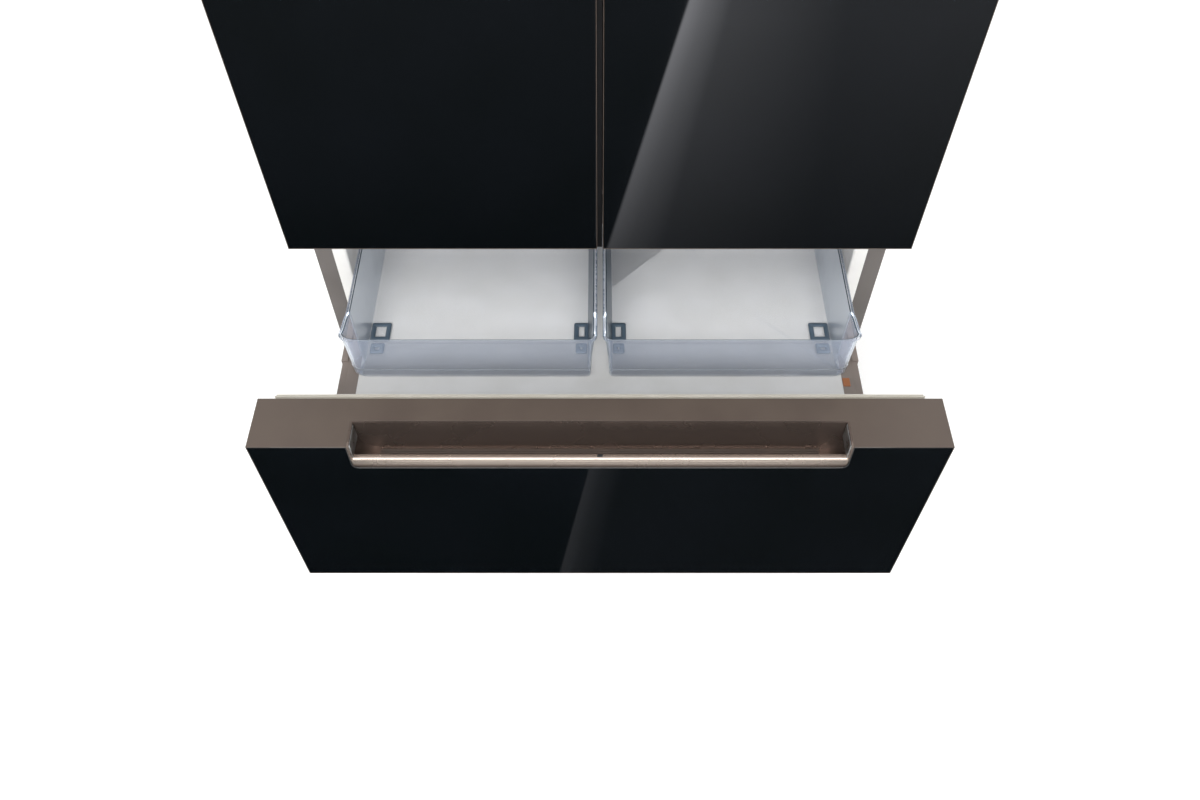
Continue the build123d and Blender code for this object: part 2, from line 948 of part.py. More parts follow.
save("glass_shelf_middle", shelf(middle_shelf_level))
save("glass_shelf_upper", shelf(upper_shelf_level))
cover_shelf = shelf(crisper_cover_level)
cover_shelf += centred(
    divider_thickness / 2,
    (rim_depth + crisper_front_gap + divider_front_gap, shelf_rear_depth),
    (fridge_bottom, fridge_bottom + crisper_cover_level),
)
save("crisper_cover_shelf", cover_shelf)

crisper_front_depth = rim_depth + crisper_front_gap
crisper_x = (crisper_centre_gap, cavity_half - crisper_centre_gap)
crisper_z = (
    fridge_bottom + running_gap,
    fridge_bottom + crisper_cover_level - shelf_trim_height - crisper_head_gap,
)
crisper = tub(
    crisper_x,
    (crisper_front_depth, fridge_rear_depth - crisper_rear_gap),
    crisper_z,
    crisper_wall,
    0,
    crisper_round,
)
crisper_middle = (crisper_x[0] + crisper_x[1]) / 2
crisper += block(
    (crisper_middle - crisper_pull_width / 2, crisper_middle + crisper_pull_width / 2),
    (crisper_front_depth - crisper_pull_depth, crisper_front_depth + crisper_wall),
    (crisper_z[1] - crisper_pull_height, crisper_z[1]),
)
save("crisper_right", crisper)
save("crisper_left", other_side(crisper))

duct_bottom = fridge_bottom + crisper_cover_level + shelf_thickness
air_duct = centred(
    duct_width / 2,
    (fridge_rear_depth - duct_thickness, fridge_rear_depth),
    (duct_bottom, fridge_top),
)
for step in range(duct_slot_count):
    slot_z = duct_bottom + (fridge_top - duct_bottom) * (step + 0.5) / duct_slot_count
    for side in (-1, 1):
        air_duct -= block(
            (side * duct_slot_width / 4, side * duct_slot_width * 5 / 4),
            (fridge_rear_depth - duct_thickness - overrun, fridge_rear_depth + overrun),
            (slot_z - duct_slot_height / 2, slot_z + duct_slot_height / 2),
        )
save("fridge_air_duct", air_duct)

lamp = centred(
    lamp_width / 2,
    (rim_depth + lamp_front_gap, rim_depth + lamp_front_gap + lamp_length),
    (fridge_top - lamp_height, fridge_top),
)
save("ceiling_lamp", rounded(lamp, Axis.Z, lamp_round))


# Telescopic rails: a fixed channel on the liner, a middle channel and the drawer's own rail
def rail_middle_z(drawer_top):
    """The level of a pair of rails."""
    return drawer_top - arm_top_drop - arm_height / 2


def channel(x_open, x_web, depth_range, middle_z, height):
    """A channel along Y that opens towards x_open."""
    inward = 1 if x_open > x_web else -1
    outside = block(
        (x_open, x_web), depth_range, (middle_z - height / 2, middle_z + height / 2)
    )
    return outside - block(
        (x_open + inward * overrun, x_web + inward * rail_sheet),
        (depth_range[0] - overrun, depth_range[1] + overrun),
        (middle_z - height / 2 + rail_sheet, middle_z + height / 2 - rail_sheet),
    )


def fixed_rail(drawer_top, length):
    """The right outer channel, fixed to the liner."""
    height = inner_rail_height + 4 * running_gap + 4 * rail_sheet
    return channel(
        cavity_half - fixed_rail_width,
        cavity_half,
        (fixed_rail_start_depth, fixed_rail_start_depth + length),
        rail_middle_z(drawer_top),
        height,
    )


def middle_rail(drawer_top, length):
    """The right middle channel, which runs out half as far as the drawer."""
    height = inner_rail_height + 2 * running_gap + 2 * rail_sheet
    web_x = cavity_half - rail_sheet - running_gap
    return channel(
        arm_outer_x + fixed_rail_width / 2,
        web_x,
        (fixed_rail_start_depth, fixed_rail_start_depth + length),
        rail_middle_z(drawer_top),
        height,
    )


def drawer_arm(drawer_top, length):
    """The right arm of a drawer with the rail that it carries."""
    middle_z = rail_middle_z(drawer_top)
    depth_range = (front_thickness, front_thickness + length)
    outside = block(
        (arm_inner_x, arm_outer_x),
        depth_range,
        (middle_z - arm_height / 2, middle_z + arm_height / 2),
    )
    arm = outside - block(
        (arm_inner_x - overrun, arm_outer_x - arm_sheet),
        (depth_range[0] - overrun, depth_range[1] + overrun),
        (middle_z - arm_height / 2 + arm_sheet, middle_z + arm_height / 2 - arm_sheet),
    )
    web_x = cavity_half - 2 * rail_sheet - 2 * running_gap
    rail = block(
        (arm_outer_x - arm_sheet, web_x),
        depth_range,
        (middle_z - inner_rail_height / 2, middle_z + inner_rail_height / 2),
    )
    return arm + rail


save(
    "fixed_rails",
    *[
        piece
        for drawer_top, length in (
            (upper_drawer_top, upper_rail_length),
            (lower_drawer_top, lower_rail_length),
        )
        for piece in (
            fixed_rail(drawer_top, length),
            other_side(fixed_rail(drawer_top, length)),
        )
    ],
)

# Fronts of the drawers
drawer_x = (-half_width, half_width)


def handle_space(drawer_top):
    """The space that the pocket handle takes in a drawer front."""
    space = centred(
        handle_width / 2,
        (0, handle_rear_depth + handle_wall),
        (drawer_top - handle_floor_drop - handle_wall, drawer_top),
    )
    bottom = drawer_top - handle_floor_drop
    return rounded(space, Axis.Y, handle_end_round, keep=lambda at: at.Z < bottom)


def glass_notch(drawer_top):
    """What the handle takes from the top edge of the glass."""
    notch = centred(
        handle_width / 2,
        (-overrun, glass_thickness),
        (drawer_top - handle_lip_bottom_drop, drawer_top + overrun),
    )
    bottom = drawer_top - handle_lip_bottom_drop + overrun
    return rounded(notch, Axis.Y, handle_notch_round, keep=lambda at: at.Z < bottom)


def lip_edge(handle, depth, level):
    """The long edge of a handle that lies nearest to a depth and a level."""
    long_edges = (
        edge for edge in handle.edges().filter_by(Axis.X) if edge.length > handle_width / 2
    )
    return min(
        long_edges,
        key=lambda edge: abs(edge.center().Y - face_y - depth) + abs(edge.center().Z - level),
    )


def drawer_handle(drawer_top):
    """A pocket open at the top and front, with a rolled and grooved lip for the fingers."""
    inner_half = handle_width / 2 - handle_wall
    floor_z = drawer_top - handle_floor_drop
    lip_z = drawer_top - handle_lip_top_drop
    pocket = centred(
        inner_half, (handle_lip_thickness, handle_rear_depth), (floor_z, drawer_top + overrun)
    )
    pocket = rounded(
        pocket, Axis.Y, handle_end_round - handle_wall, keep=lambda at: at.Z < drawer_top
    )
    mouth = centred(
        inner_half,
        (-overrun, handle_lip_thickness + overrun),
        (lip_z, drawer_top + overrun),
    )
    behind_glass = centred(
        handle_width,
        (-overrun, glass_thickness),
        (floor_z - handle_wall - overrun, drawer_top - handle_lip_bottom_drop),
    )
    lip_front = handle_space(drawer_top) & glass_notch(drawer_top)
    back = handle_space(drawer_top) - centred(
        handle_width, (-overrun, glass_thickness), (floor_z - handle_end_round, drawer_top + overrun)
    )
    handle = (back + lip_front) - pocket - mouth - behind_glass
    handle = fillet(lip_edge(handle, handle_lip_thickness, lip_z), handle_lip_rear_round)
    handle = fillet(lip_edge(handle, 0, lip_z), handle_lip_round)
    groove_start = handle_lip_round + handle_groove_gap
    return handle - centred(
        inner_half,
        (groove_start, groove_start + handle_groove_width),
        (lip_z - handle_groove_depth, lip_z + overrun),
    )


def drawer_liner(drawer_bottom, drawer_top):
    """The foamed core and raised inner panel of a drawer front."""
    panel = centred(
        arm_inner_x - drawer_plateau_gap,
        (front_thickness, front_thickness + drawer_plateau_depth),
        (
            drawer_bottom + drawer_cavity_inset + plateau_clearance,
            drawer_top - drawer_cavity_inset - plateau_clearance,
        ),
    )
    panel = rounded(panel, Axis.Y, drawer_plateau_round)
    return panel + panel_core(drawer_x, (drawer_bottom, drawer_top)) - handle_space(drawer_top)


def drawer_gasket(drawer_bottom, drawer_top):
    """The magnetic gasket of a drawer."""
    return ring(
        (-half_width + drawer_gasket_inset, half_width - drawer_gasket_inset),
        (front_thickness, gasket_back_depth),
        (drawer_bottom + drawer_gasket_inset_height, drawer_top - drawer_gasket_inset_height),
        gasket_width,
    )


def drawer_front(name, drawer_bottom, drawer_top, move):
    """The pieces that both drawer fronts share."""
    z_range = (drawer_bottom, drawer_top)
    notch = glass_notch(drawer_top)
    space = handle_space(drawer_top)
    frame = panel_frame(drawer_x, z_range) - space - notch
    save(name + "_frame", move * frame)
    save(name + "_glass", move * (panel_glass(drawer_x, z_range) - notch))
    save(name + "_handle", move * drawer_handle(drawer_top))
    save(name + "_liner", move * drawer_liner(drawer_bottom, drawer_top))
    save(name + "_gasket", move * drawer_gasket(drawer_bottom, drawer_top))


def save_rails(name, drawer_top, length, opened):
    """A drawer's arms, drawn out by opened, and its middle rails, drawn out half as far."""
    arm = Pos(0, -opened, 0) * drawer_arm(drawer_top, length)
    rail = Pos(0, -opened / 2, 0) * middle_rail(drawer_top, length)
    save(name + "_arms", arm, other_side(arm))
    save(name + "_middle_rails", rail, other_side(rail))


# Upper drawer: arms, a carrier tray with two clear bins on it and a deep basket below
bin_front_depth = front_thickness + bin_front_gap
bin_rear_depth = evaporator_cover_depth - bin_rear_gap


def freezer_bin(drawer_top):
    """The right clear bin, low in front, with an ear at its outer front corner."""
    floor_z = drawer_top - arm_top_drop
    side_z = drawer_top - bin_side_top_drop
    front_z = drawer_top - bin_front_top_drop
    x_range = (bin_centre_gap / 2, arm_inner_x)
    shell = tub(
        x_range, (bin_front_depth, bin_rear_depth), (floor_z, side_z), bin_wall, bin_draft, bin_round
    )
    rim = block(
        (arm_inner_x - bin_rim_width, arm_inner_x + bin_rim_width),
        (bin_front_depth + bin_round, bin_rear_depth - bin_round),
        (side_z - bin_rim_height, side_z),
    )
    cut_start = face_y + bin_front_depth
    cut = Plane.YZ * Polygon(
        (cut_start - bin_round, front_z),
        (cut_start + bin_slope_start, front_z),
        (cut_start + bin_slope_end, side_z),
        (cut_start + bin_slope_end, side_z + overrun),
        (cut_start - bin_round, side_z + overrun),
        align=None,
    )
    shell = shell + rim - extrude(cut, arm_outer_x, both=True)
    shell += block(
        (x_range[0] + bin_round, arm_inner_x),
        (bin_front_depth, bin_front_depth + bin_wall + bin_rim_width),
        (front_z - bin_rim_height, front_z),
    )
    shell += bin_ear(floor_z + bin_wall, front_z)
    for x_near in (
        x_range[0] + bin_wall + socket_side_inset,
        arm_inner_x - bin_wall - socket_side_inset - socket_width,
    ):
        depth_near = bin_front_depth + bin_wall + socket_front_inset
        outside = block(
            (x_near, x_near + socket_width),
            (depth_near, depth_near + socket_length),
            (floor_z + bin_wall / 2, floor_z + bin_wall + socket_height),
        )
        inside = block(
            (x_near + socket_wall, x_near + socket_width - socket_wall),
            (depth_near + socket_wall, depth_near + socket_length - socket_wall),
            (floor_z + bin_wall, floor_z + bin_wall + socket_height + overrun),
        )
        shell += outside - inside
    return shell


def bin_ear(z_low, z_high):
    """The corner that widens from the foot of a bin to its rim."""
    wedge = Plane.XZ * Polygon(
        (arm_inner_x - bin_draft - bin_ear_wall, z_low),
        (arm_inner_x - bin_draft, z_low),
        (arm_inner_x + bin_ear_reach, z_high),
        (arm_inner_x - bin_ear_wall, z_high),
        align=None,
    )
    ear = extrude(wedge, -bin_ear_length)
    return Pos(0, face_y + bin_front_depth + bin_round / 2, 0) * ear


out = Pos(0, -upper_drawer_open, 0)
drawer_front("upper_drawer", upper_drawer_bottom, upper_drawer_top, out)
save_rails("upper_drawer", upper_drawer_top, upper_rail_length, upper_drawer_open)

tray_top = upper_drawer_top - arm_top_drop
tray_start = front_thickness + drawer_plateau_depth
tray_end = front_thickness + upper_rail_length
tray = centred(arm_inner_x, (tray_start, tray_end), (tray_top - tray_thickness, tray_top))
for step in range(tray_rib_count):
    rib_depth = tray_start + (tray_end - tray_start) * (step + 0.5) / tray_rib_count
    tray += centred(
        arm_inner_x,
        (rib_depth - tray_rib_width / 2, rib_depth + tray_rib_width / 2),
        (tray_top - tray_rib_height, tray_top - tray_thickness),
    )
save("upper_drawer_tray", out * tray)

right_bin = out * freezer_bin(upper_drawer_top)
save("upper_drawer_bin_right", right_bin)
save("upper_drawer_bin_left", other_side(right_bin))

arm_floor = upper_drawer_top - arm_top_drop - arm_height + arm_sheet
basket_half = arm_inner_x - basket_side_gap
basket_depths = (tray_start + basket_front_gap, tray_end - basket_rear_gap)
basket = tub(
    (-basket_half, basket_half),
    basket_depths,
    (upper_drawer_top - basket_floor_drop, arm_floor + basket_flange_height),
    basket_wall,
    basket_draft,
    basket_round,
)
for side in (-1, 1):
    basket += block(
        (
            side * (basket_half - basket_wall),
            side * (arm_outer_x - arm_sheet - basket_flange_spare),
        ),
        (basket_depths[0] + basket_round, basket_depths[1] - basket_round),
        (arm_floor, arm_floor + basket_flange_height),
    )
save("upper_drawer_basket", out * basket)

# Lower drawer: the same front and arms, with one deep bin hung on the arms
closed = Pos(0, 0, 0)
drawer_front("lower_drawer", lower_drawer_bottom, lower_drawer_top, closed)
save_rails("lower_drawer", lower_drawer_top, lower_rail_length, 0)

lower_arm_top = lower_drawer_top - arm_top_drop
deep_bin_depths = (
    front_thickness + drawer_plateau_depth + basket_front_gap,
    front_thickness + lower_rail_length - basket_rear_gap,
)
deep_bin = tub(
    (-basket_half, basket_half),
    deep_bin_depths,
    (lower_drawer_top - deep_bin_floor_drop, lower_drawer_top - deep_bin_top_drop),
    basket_wall,
    basket_side_gap,
    basket_round,
)
for side in (-1, 1):
    deep_bin += block(
        (side * (basket_half - basket_wall), side * (arm_outer_x - arm_sheet)),
        (deep_bin_depths[0] + basket_round, deep_bin_depths[1] - basket_round),
        (lower_arm_top, lower_arm_top + basket_flange_height),
    )
save("lower_drawer_bin", deep_bin)

# Evaporator, its cover and its fan, behind the upper freezer compartment
evaporator_bottom = upper_cavity_bottom + evaporator_bottom_gap
evaporator_top = evaporator_bottom + evaporator_height
evaporator_front_depth = evaporator_cover_depth + evaporator_front_gap
evaporator_rear_depth = evaporator_front_depth + evaporator_length
evaporator_fan_depth = evaporator_cover_depth + evaporator_fan_gap
plate_half = cavity_half - evaporator_side_gap
evaporator_width = 2 * plate_half
evaporator = Part()
for side in (-1, 1):
    evaporator += block(
        (side * plate_half, side * (plate_half - evaporator_plate_sheet)),
        (evaporator_front_depth, fridge_rear_depth),
        (evaporator_bottom, evaporator_top),
    )
for step in range(evaporator_fin_count):
    fin_x = evaporator_width * ((step + 0.5) / evaporator_fin_count - 0.5)
    evaporator += block(
        (fin_x - evaporator_fin_sheet / 2, fin_x + evaporator_fin_sheet / 2),
        (evaporator_front_depth, evaporator_rear_depth),
        (evaporator_bottom, evaporator_top),
    )
for row in range(evaporator_tube_rows):
    tube_z = evaporator_bottom + evaporator_height * (row + 0.5) / evaporator_tube_rows
    for share in evaporator_tube_shares:
        tube_depth = evaporator_front_depth
        tube_depth += (evaporator_rear_depth - evaporator_front_depth) * share
        evaporator += rod((-plate_half, plate_half), tube_depth, tube_z, evaporator_tube_radius)
save("evaporator", evaporator)

fan_z = upper_cavity_top - evaporator_fan_drop
cover_back_depth = evaporator_cover_depth + evaporator_cover_sheet
evaporator_cover = centred(
    cavity_half,
    (evaporator_cover_depth, cover_back_depth),
    (upper_cavity_bottom, upper_cavity_top),
)
evaporator_cover -= spindle(
    0,
    (evaporator_cover_depth - overrun, cover_back_depth + overrun),
    fan_z,
    fan_tip_radius + fan_opening_gap,
)
for step in range(cover_slot_count):
    slot_z = evaporator_bottom + evaporator_height * (step + 0.5) / cover_slot_count
    for side in (-1, 1):
        evaporator_cover -= block(
            (side * cover_slot_width / 2, side * cover_slot_width * 3 / 2),
            (evaporator_cover_depth - overrun, cover_back_depth + overrun),
            (slot_z - cover_slot_height / 2, slot_z + cover_slot_height / 2),
        )
motor_front = evaporator_fan_depth + fan_hub_length / 2 + motor_start_gap
motor_back = motor_front + motor_length
ring_radius = fan_tip_radius + fan_opening_gap + motor_arm_width
for side in (-1, 1):
    evaporator_cover += block(
        (side * (ring_radius - motor_arm_width / 2), side * (ring_radius + motor_arm_width / 2)),
        (cover_back_depth, motor_back),
        (fan_z - motor_arm_width, fan_z + motor_arm_width),
    )
evaporator_cover += centred(
    ring_radius,
    (motor_back - motor_arm_width, motor_back),
    (fan_z - motor_arm_width, fan_z + motor_arm_width),
)
evaporator_cover += spindle(0, (motor_front, motor_back), fan_z, motor_radius)
evaporator_cover -= spindle(
    0, (motor_front - overrun, motor_back + overrun), fan_z, fan_shaft_radius + pin_gap
)
save("evaporator_cover", evaporator_cover)
save(
    "evaporator_fan",
    Pos(0, face_y + evaporator_fan_depth, fan_z) * Rot(-90, 0, 0) * fan(),
)

# Machine room: compressor, condenser with its fan, and the rear cover with the cable inlet
compressor_x = half_width - compressor_side_inset
compressor_depth = machine_room_front_depth + compressor_front_gap
compressor_plate_z = base_top + compressor_foot_height
compressor = block(
    (compressor_x - compressor_plate_width / 2, compressor_x + compressor_plate_width / 2),
    (compressor_depth - compressor_plate_length / 2, compressor_depth + compressor_plate_length / 2),
    (compressor_plate_z, compressor_plate_z + compressor_plate_sheet),
)
body_bottom = compressor_plate_z + compressor_plate_sheet
dome = post(
    compressor_x,
    compressor_depth,
    compressor_radius,
    (body_bottom, body_bottom + compressor_body_height),
)
dome = fillet(dome.edges().filter_by(GeomType.CIRCLE).sort_by(Axis.Z)[-1], compressor_round)
compressor += dome
compressor += block(
    (compressor_x - compressor_radius - compressor_box_size / 4, compressor_x),
    (compressor_depth - compressor_box_size / 2, compressor_depth + compressor_box_size / 2),
    (body_bottom + compressor_box_size / 2, body_bottom + compressor_box_size * 3 / 2),
)
for x_side in (-1, 1):
    for y_side in (-1, 1):
        compressor += post(
            compressor_x + x_side * (compressor_plate_width / 2 - compressor_foot_inset),
            compressor_depth + y_side * (compressor_plate_length / 2 - compressor_foot_inset),
            compressor_foot_radius,
            (base_top, compressor_plate_z),
        )
save("compressor", compressor)

condenser_x_far = half_width - condenser_side_inset
condenser_front_depth = machine_room_front_depth + condenser_front_gap
condenser_rear_depth = condenser_front_depth + condenser_length
condenser = Part()
for x_near in (condenser_x_near, condenser_x_far - condenser_plate_sheet):
    condenser += block(
        (-x_near - condenser_plate_sheet, -x_near),
        (condenser_front_depth, condenser_rear_depth),
        (base_top, base_top + condenser_height),
    )
for row in range(condenser_tube_rows):
    tube_z = base_top + condenser_height * (row + 0.5) / condenser_tube_rows
    for column in range(condenser_tube_columns):
        tube_depth = condenser_front_depth
        tube_depth += (
            (condenser_rear_depth - condenser_front_depth) * (column + 0.5) / condenser_tube_columns
        )
        condenser += rod(
            (-condenser_x_far, -condenser_x_near), tube_depth, tube_z, condenser_tube_radius
        )
save("condenser_coil", condenser)
save(
    "condenser_fan",
    Pos(condenser_fan_x, face_y + condenser_fan_depth, fan_centre_z) * Rot(0, 90, 0) * fan(),
)

room_cover_depth = overall_depth - room_cover_inset
inlet_x = half_width - inlet_side_inset
room_cover = centred(
    half_width - shell_sheet,
    (room_cover_depth, room_cover_depth + room_cover_sheet),
    (base_top, machine_room_top),
)
room_slot_pitch = overall_width / (room_slot_columns + 1)
for row in range(room_slot_rows):
    slot_z = base_top + machine_room_height * (row + 1) / (room_slot_rows + 1)
    for column in range(room_slot_columns):
        slot_x = room_slot_pitch * (column - (room_slot_columns - 1) / 2)
        room_cover -= block(
            (slot_x - room_slot_width / 2, slot_x + room_slot_width / 2),
            (room_cover_depth - overrun, room_cover_depth + room_cover_sheet + overrun),
            (slot_z - room_slot_height / 2, slot_z + room_slot_height / 2),
        )
inlet_z = (base_top + machine_room_top) / 2
room_cover += spindle(inlet_x, (room_cover_depth, overall_depth), inlet_z, inlet_radius)
room_cover -= spindle(
    inlet_x,
    (room_cover_depth + room_cover_sheet, overall_depth + overrun),
    inlet_z,
    inlet_radius - inlet_wall,
)
save("machine_room_cover", room_cover)

os.makedirs("parts", exist_ok=True)
for name, solids in parts.items():
    export_step(Compound(solids), os.path.join("parts", name + ".step"))
print(len(parts), "parts,", sum(len(solids) for solids in parts.values()), "solids")
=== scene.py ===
# %% [markdown]
# # A refrigerator with black glass fronts
# Two hinged doors stand over two full-width freezer drawers, and the upper drawer is drawn out.
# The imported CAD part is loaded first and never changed. It fixes every size, so each surface that
# is made here reads its place from a CAD box.

import itertools
import json
import math

import bmesh
import bpy
import numpy as np
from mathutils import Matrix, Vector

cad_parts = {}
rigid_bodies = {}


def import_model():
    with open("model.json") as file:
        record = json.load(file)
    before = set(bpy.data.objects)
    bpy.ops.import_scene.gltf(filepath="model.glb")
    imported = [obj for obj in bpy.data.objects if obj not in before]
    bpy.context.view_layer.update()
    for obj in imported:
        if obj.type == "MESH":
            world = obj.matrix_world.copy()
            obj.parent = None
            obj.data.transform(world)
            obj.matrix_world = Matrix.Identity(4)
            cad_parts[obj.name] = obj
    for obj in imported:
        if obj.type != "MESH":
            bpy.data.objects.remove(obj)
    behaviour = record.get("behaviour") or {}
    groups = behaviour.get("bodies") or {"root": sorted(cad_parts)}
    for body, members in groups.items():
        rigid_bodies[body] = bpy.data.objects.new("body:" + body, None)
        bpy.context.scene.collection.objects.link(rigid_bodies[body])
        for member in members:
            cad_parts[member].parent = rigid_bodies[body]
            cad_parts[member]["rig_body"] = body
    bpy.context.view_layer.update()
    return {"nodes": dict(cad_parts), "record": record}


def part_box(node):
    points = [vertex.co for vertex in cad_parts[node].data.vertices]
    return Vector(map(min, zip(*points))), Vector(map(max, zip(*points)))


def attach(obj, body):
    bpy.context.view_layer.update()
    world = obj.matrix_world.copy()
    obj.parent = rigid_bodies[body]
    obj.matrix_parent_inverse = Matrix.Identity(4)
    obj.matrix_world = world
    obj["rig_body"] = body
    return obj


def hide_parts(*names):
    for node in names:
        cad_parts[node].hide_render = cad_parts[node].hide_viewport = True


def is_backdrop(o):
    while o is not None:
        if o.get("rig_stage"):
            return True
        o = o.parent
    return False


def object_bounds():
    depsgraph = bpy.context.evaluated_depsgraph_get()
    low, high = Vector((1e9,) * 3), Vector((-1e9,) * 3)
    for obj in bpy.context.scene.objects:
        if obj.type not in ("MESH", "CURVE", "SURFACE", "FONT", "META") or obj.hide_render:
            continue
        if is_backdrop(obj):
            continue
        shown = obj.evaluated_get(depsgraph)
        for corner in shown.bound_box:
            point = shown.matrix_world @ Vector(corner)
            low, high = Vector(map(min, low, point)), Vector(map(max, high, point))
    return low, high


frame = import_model()
mm = 0.001
slot_of = {row["node"]: row["material_slot"] for row in frame["record"]["subparts"]}

# %% [markdown]
# ## Colours and nodes
# Colours are written as sRGB hex, as a paint chart gives them, and the shaders work in linear
# light, so one function turns the one into the other. A second function adds a node with its
# settings and links, which keeps each finish short enough to read as a recipe.


# %% Colour and node helpers
def linear(hex_colour):
    """A hex colour in linear light: a channel c is c / 12.92 when dark, and otherwise
    (c + 0.055) / 1.055 to the power 2.4."""
    channels = [int(hex_colour[at : at + 2], 16) / 255 for at in (1, 3, 5)]
    return [c / 12.92 if c <= 0.04045 else ((c + 0.055) / 1.055) ** 2.4 for c in channels] + [1]


def add(tree, kind, inputs=(), **settings):
    """Adds a shader node with its settings, its input values and its links."""
    made = tree.nodes.new("ShaderNode" + kind)
    for name, value in settings.items():
        setattr(made, name, value)
    for name, value in dict(inputs).items():
        if isinstance(value, bpy.types.NodeSocket):
            tree.links.new(value, made.inputs[name])
        else:
            made.inputs[name].default_value = value
    return made


def ramp(tree, value, stops):
    """Colours of a value: each stop is a position and a linear colour."""
    made = add(tree, "ValToRGB", {"Fac": value})
    elements = made.color_ramp.elements
    while len(elements) < len(stops):
        elements.new(0.5)
    for element, (position, colour) in zip(elements, stops):
        element.position = position
        element.color = colour
    return made.outputs["Color"]


def new_finish(name, constants):
    """A material with its shader's own sockets set. Returns the material, its tree and shader."""
    material = bpy.data.materials.new(name)
    material.use_nodes = True
    shader = material.node_tree.nodes["Principled BSDF"]
    for socket, value in constants.items():
        shader.inputs[socket].default_value = value
    return material, material.node_tree, shader


# %% [markdown]
# ## One surface pattern, many makings
# Sheet, paint and moulded plastic are never one flat colour. Slow clouds in the colour and the
# gloss come from the making, and a fine grain stands up from the surface. Both are noise on
# Object coordinates, so the pattern stays on the piece when it moves. A stretch along one axis
# turns the grain into brush lines.


# %% Clouds and grain
def surface_pattern(tree, shader, colours, cloud_mm, roughness, grain_mm, height_mm, stretch=1):
    """Colour and roughness follow slow noise of cloud_mm, and a bump follows noise of grain_mm.
    Where colours is None, the finish links its own colour."""
    place = add(tree, "TexCoord").outputs["Object"]
    clouds = add(tree, "TexNoise", {"Vector": place, "Scale": 1 / (cloud_mm * mm), "Detail": 3})
    if colours:
        tint = ramp(tree, clouds.outputs[0], [
            (0.35, linear(colours[0])), (0.65, linear(colours[1])),
        ])
        tree.links.new(tint, shader.inputs["Base Color"])
    gloss = add(tree, "MapRange", {
        "Value": clouds.outputs[0],
        "From Min": 0.35,
        "From Max": 0.65,
        "To Min": roughness[0],
        "To Max": roughness[1],
    })
    drawn = add(tree, "Mapping", {"Vector": place, "Scale": (1 / stretch, 1, 1)})
    grain = add(tree, "TexNoise", {
        "Vector": drawn.outputs["Vector"], "Scale": 1 / (grain_mm * mm), "Detail": 2,
    })
    bump = add(tree, "Bump", {"Height": grain.outputs[0], "Distance": height_mm * mm})
    tree.links.new(gloss.outputs["Result"], shader.inputs["Roughness"])
    tree.links.new(bump.outputs["Normal"], shader.inputs["Normal"])


# %% [markdown]
# ## Black glass
# The fronts are float glass with a black print on the back, so the eye meets a polished surface
# over a deep black. The surface is almost flat: float glass keeps a faint roller wave a hand wide,
# which only bends what it reflects.

# %% Back-printed float glass
finishes = {}


def float_glass():
    """Polished black glass with a slow roller wave."""
    made, tree, shader = new_finish("float glass, black print on the back", {"IOR": 1.5})
    surface_pattern(
        tree, shader, ("#06090b", "#080b0e"),
        cloud_mm=180, roughness=(0.02, 0.035), grain_mm=140, height_mm=0.006)
    return made


finishes["black_glass"] = float_glass()
print("glass:", finishes["black_glass"].name)

# %% [markdown]
# ## Bronze trim
# The trim round each front and its pocket handle are aluminium, brushed along its length before
# the bronze dye, so highlights smear across the brush lines. Satin dye scatters much of the
# light, so the trim looks half like paint and its metallic share is low. The brush lines are
# drawn coarser than the real ones, which are too fine to show.

# %% Brushed bronze


def brushed_bronze(name, colours, metallic, roughness):
    """Aluminium with brush lines along its length under a bronze dye."""
    made, tree, shader = new_finish(name, {"Metallic": metallic})
    surface_pattern(
        tree, shader, colours,
        cloud_mm=60, roughness=roughness, grain_mm=0.9, height_mm=0.02, stretch=40)
    return made


finishes["bronze_trim"] = brushed_bronze(
    "aluminium, brushed and satin bronze anodised", ("#574c45", "#5b5048"), 0.2, (0.42, 0.48))
print("trim:", finishes["bronze_trim"].name)

# %% [markdown]
# ## Painted highlight and shade on the handle's lip
# The lip's colour carries painted light. A bright band over its upper half is a painted highlight,
# and the colour darkens to painted shade at its foot. The tint goes from a warm grey at the lip's
# top over the bright upper half to dark at its foot, so it follows the height on the piece. The
# pocket behind the lip keeps one brown. Each drawer has a finish of its own, because the heights
# are those of its own handle.

# %% Painted lip highlight and shade
LIP_TOP_DROP = 28 * mm
LIP_FOOT_DROP = 48 * mm
LIP_THICKNESS = 8.4 * mm
# Tints by share: a painted highlight over the lip's upper half and painted shade at its foot.
LIP_HIGHLIGHT_SHADE_TINTS = (
    (0, "#8d7f76"), (0.06, "#a2968c"), (0.42, "#9f938a"), (0.58, "#6c5f57"), (0.74, "#3c332e"),
    (0.8, "#3c332e"), (0.82, "#6f625b"),
)
LIP_FOOT_SHADE_SHARE = 0.8


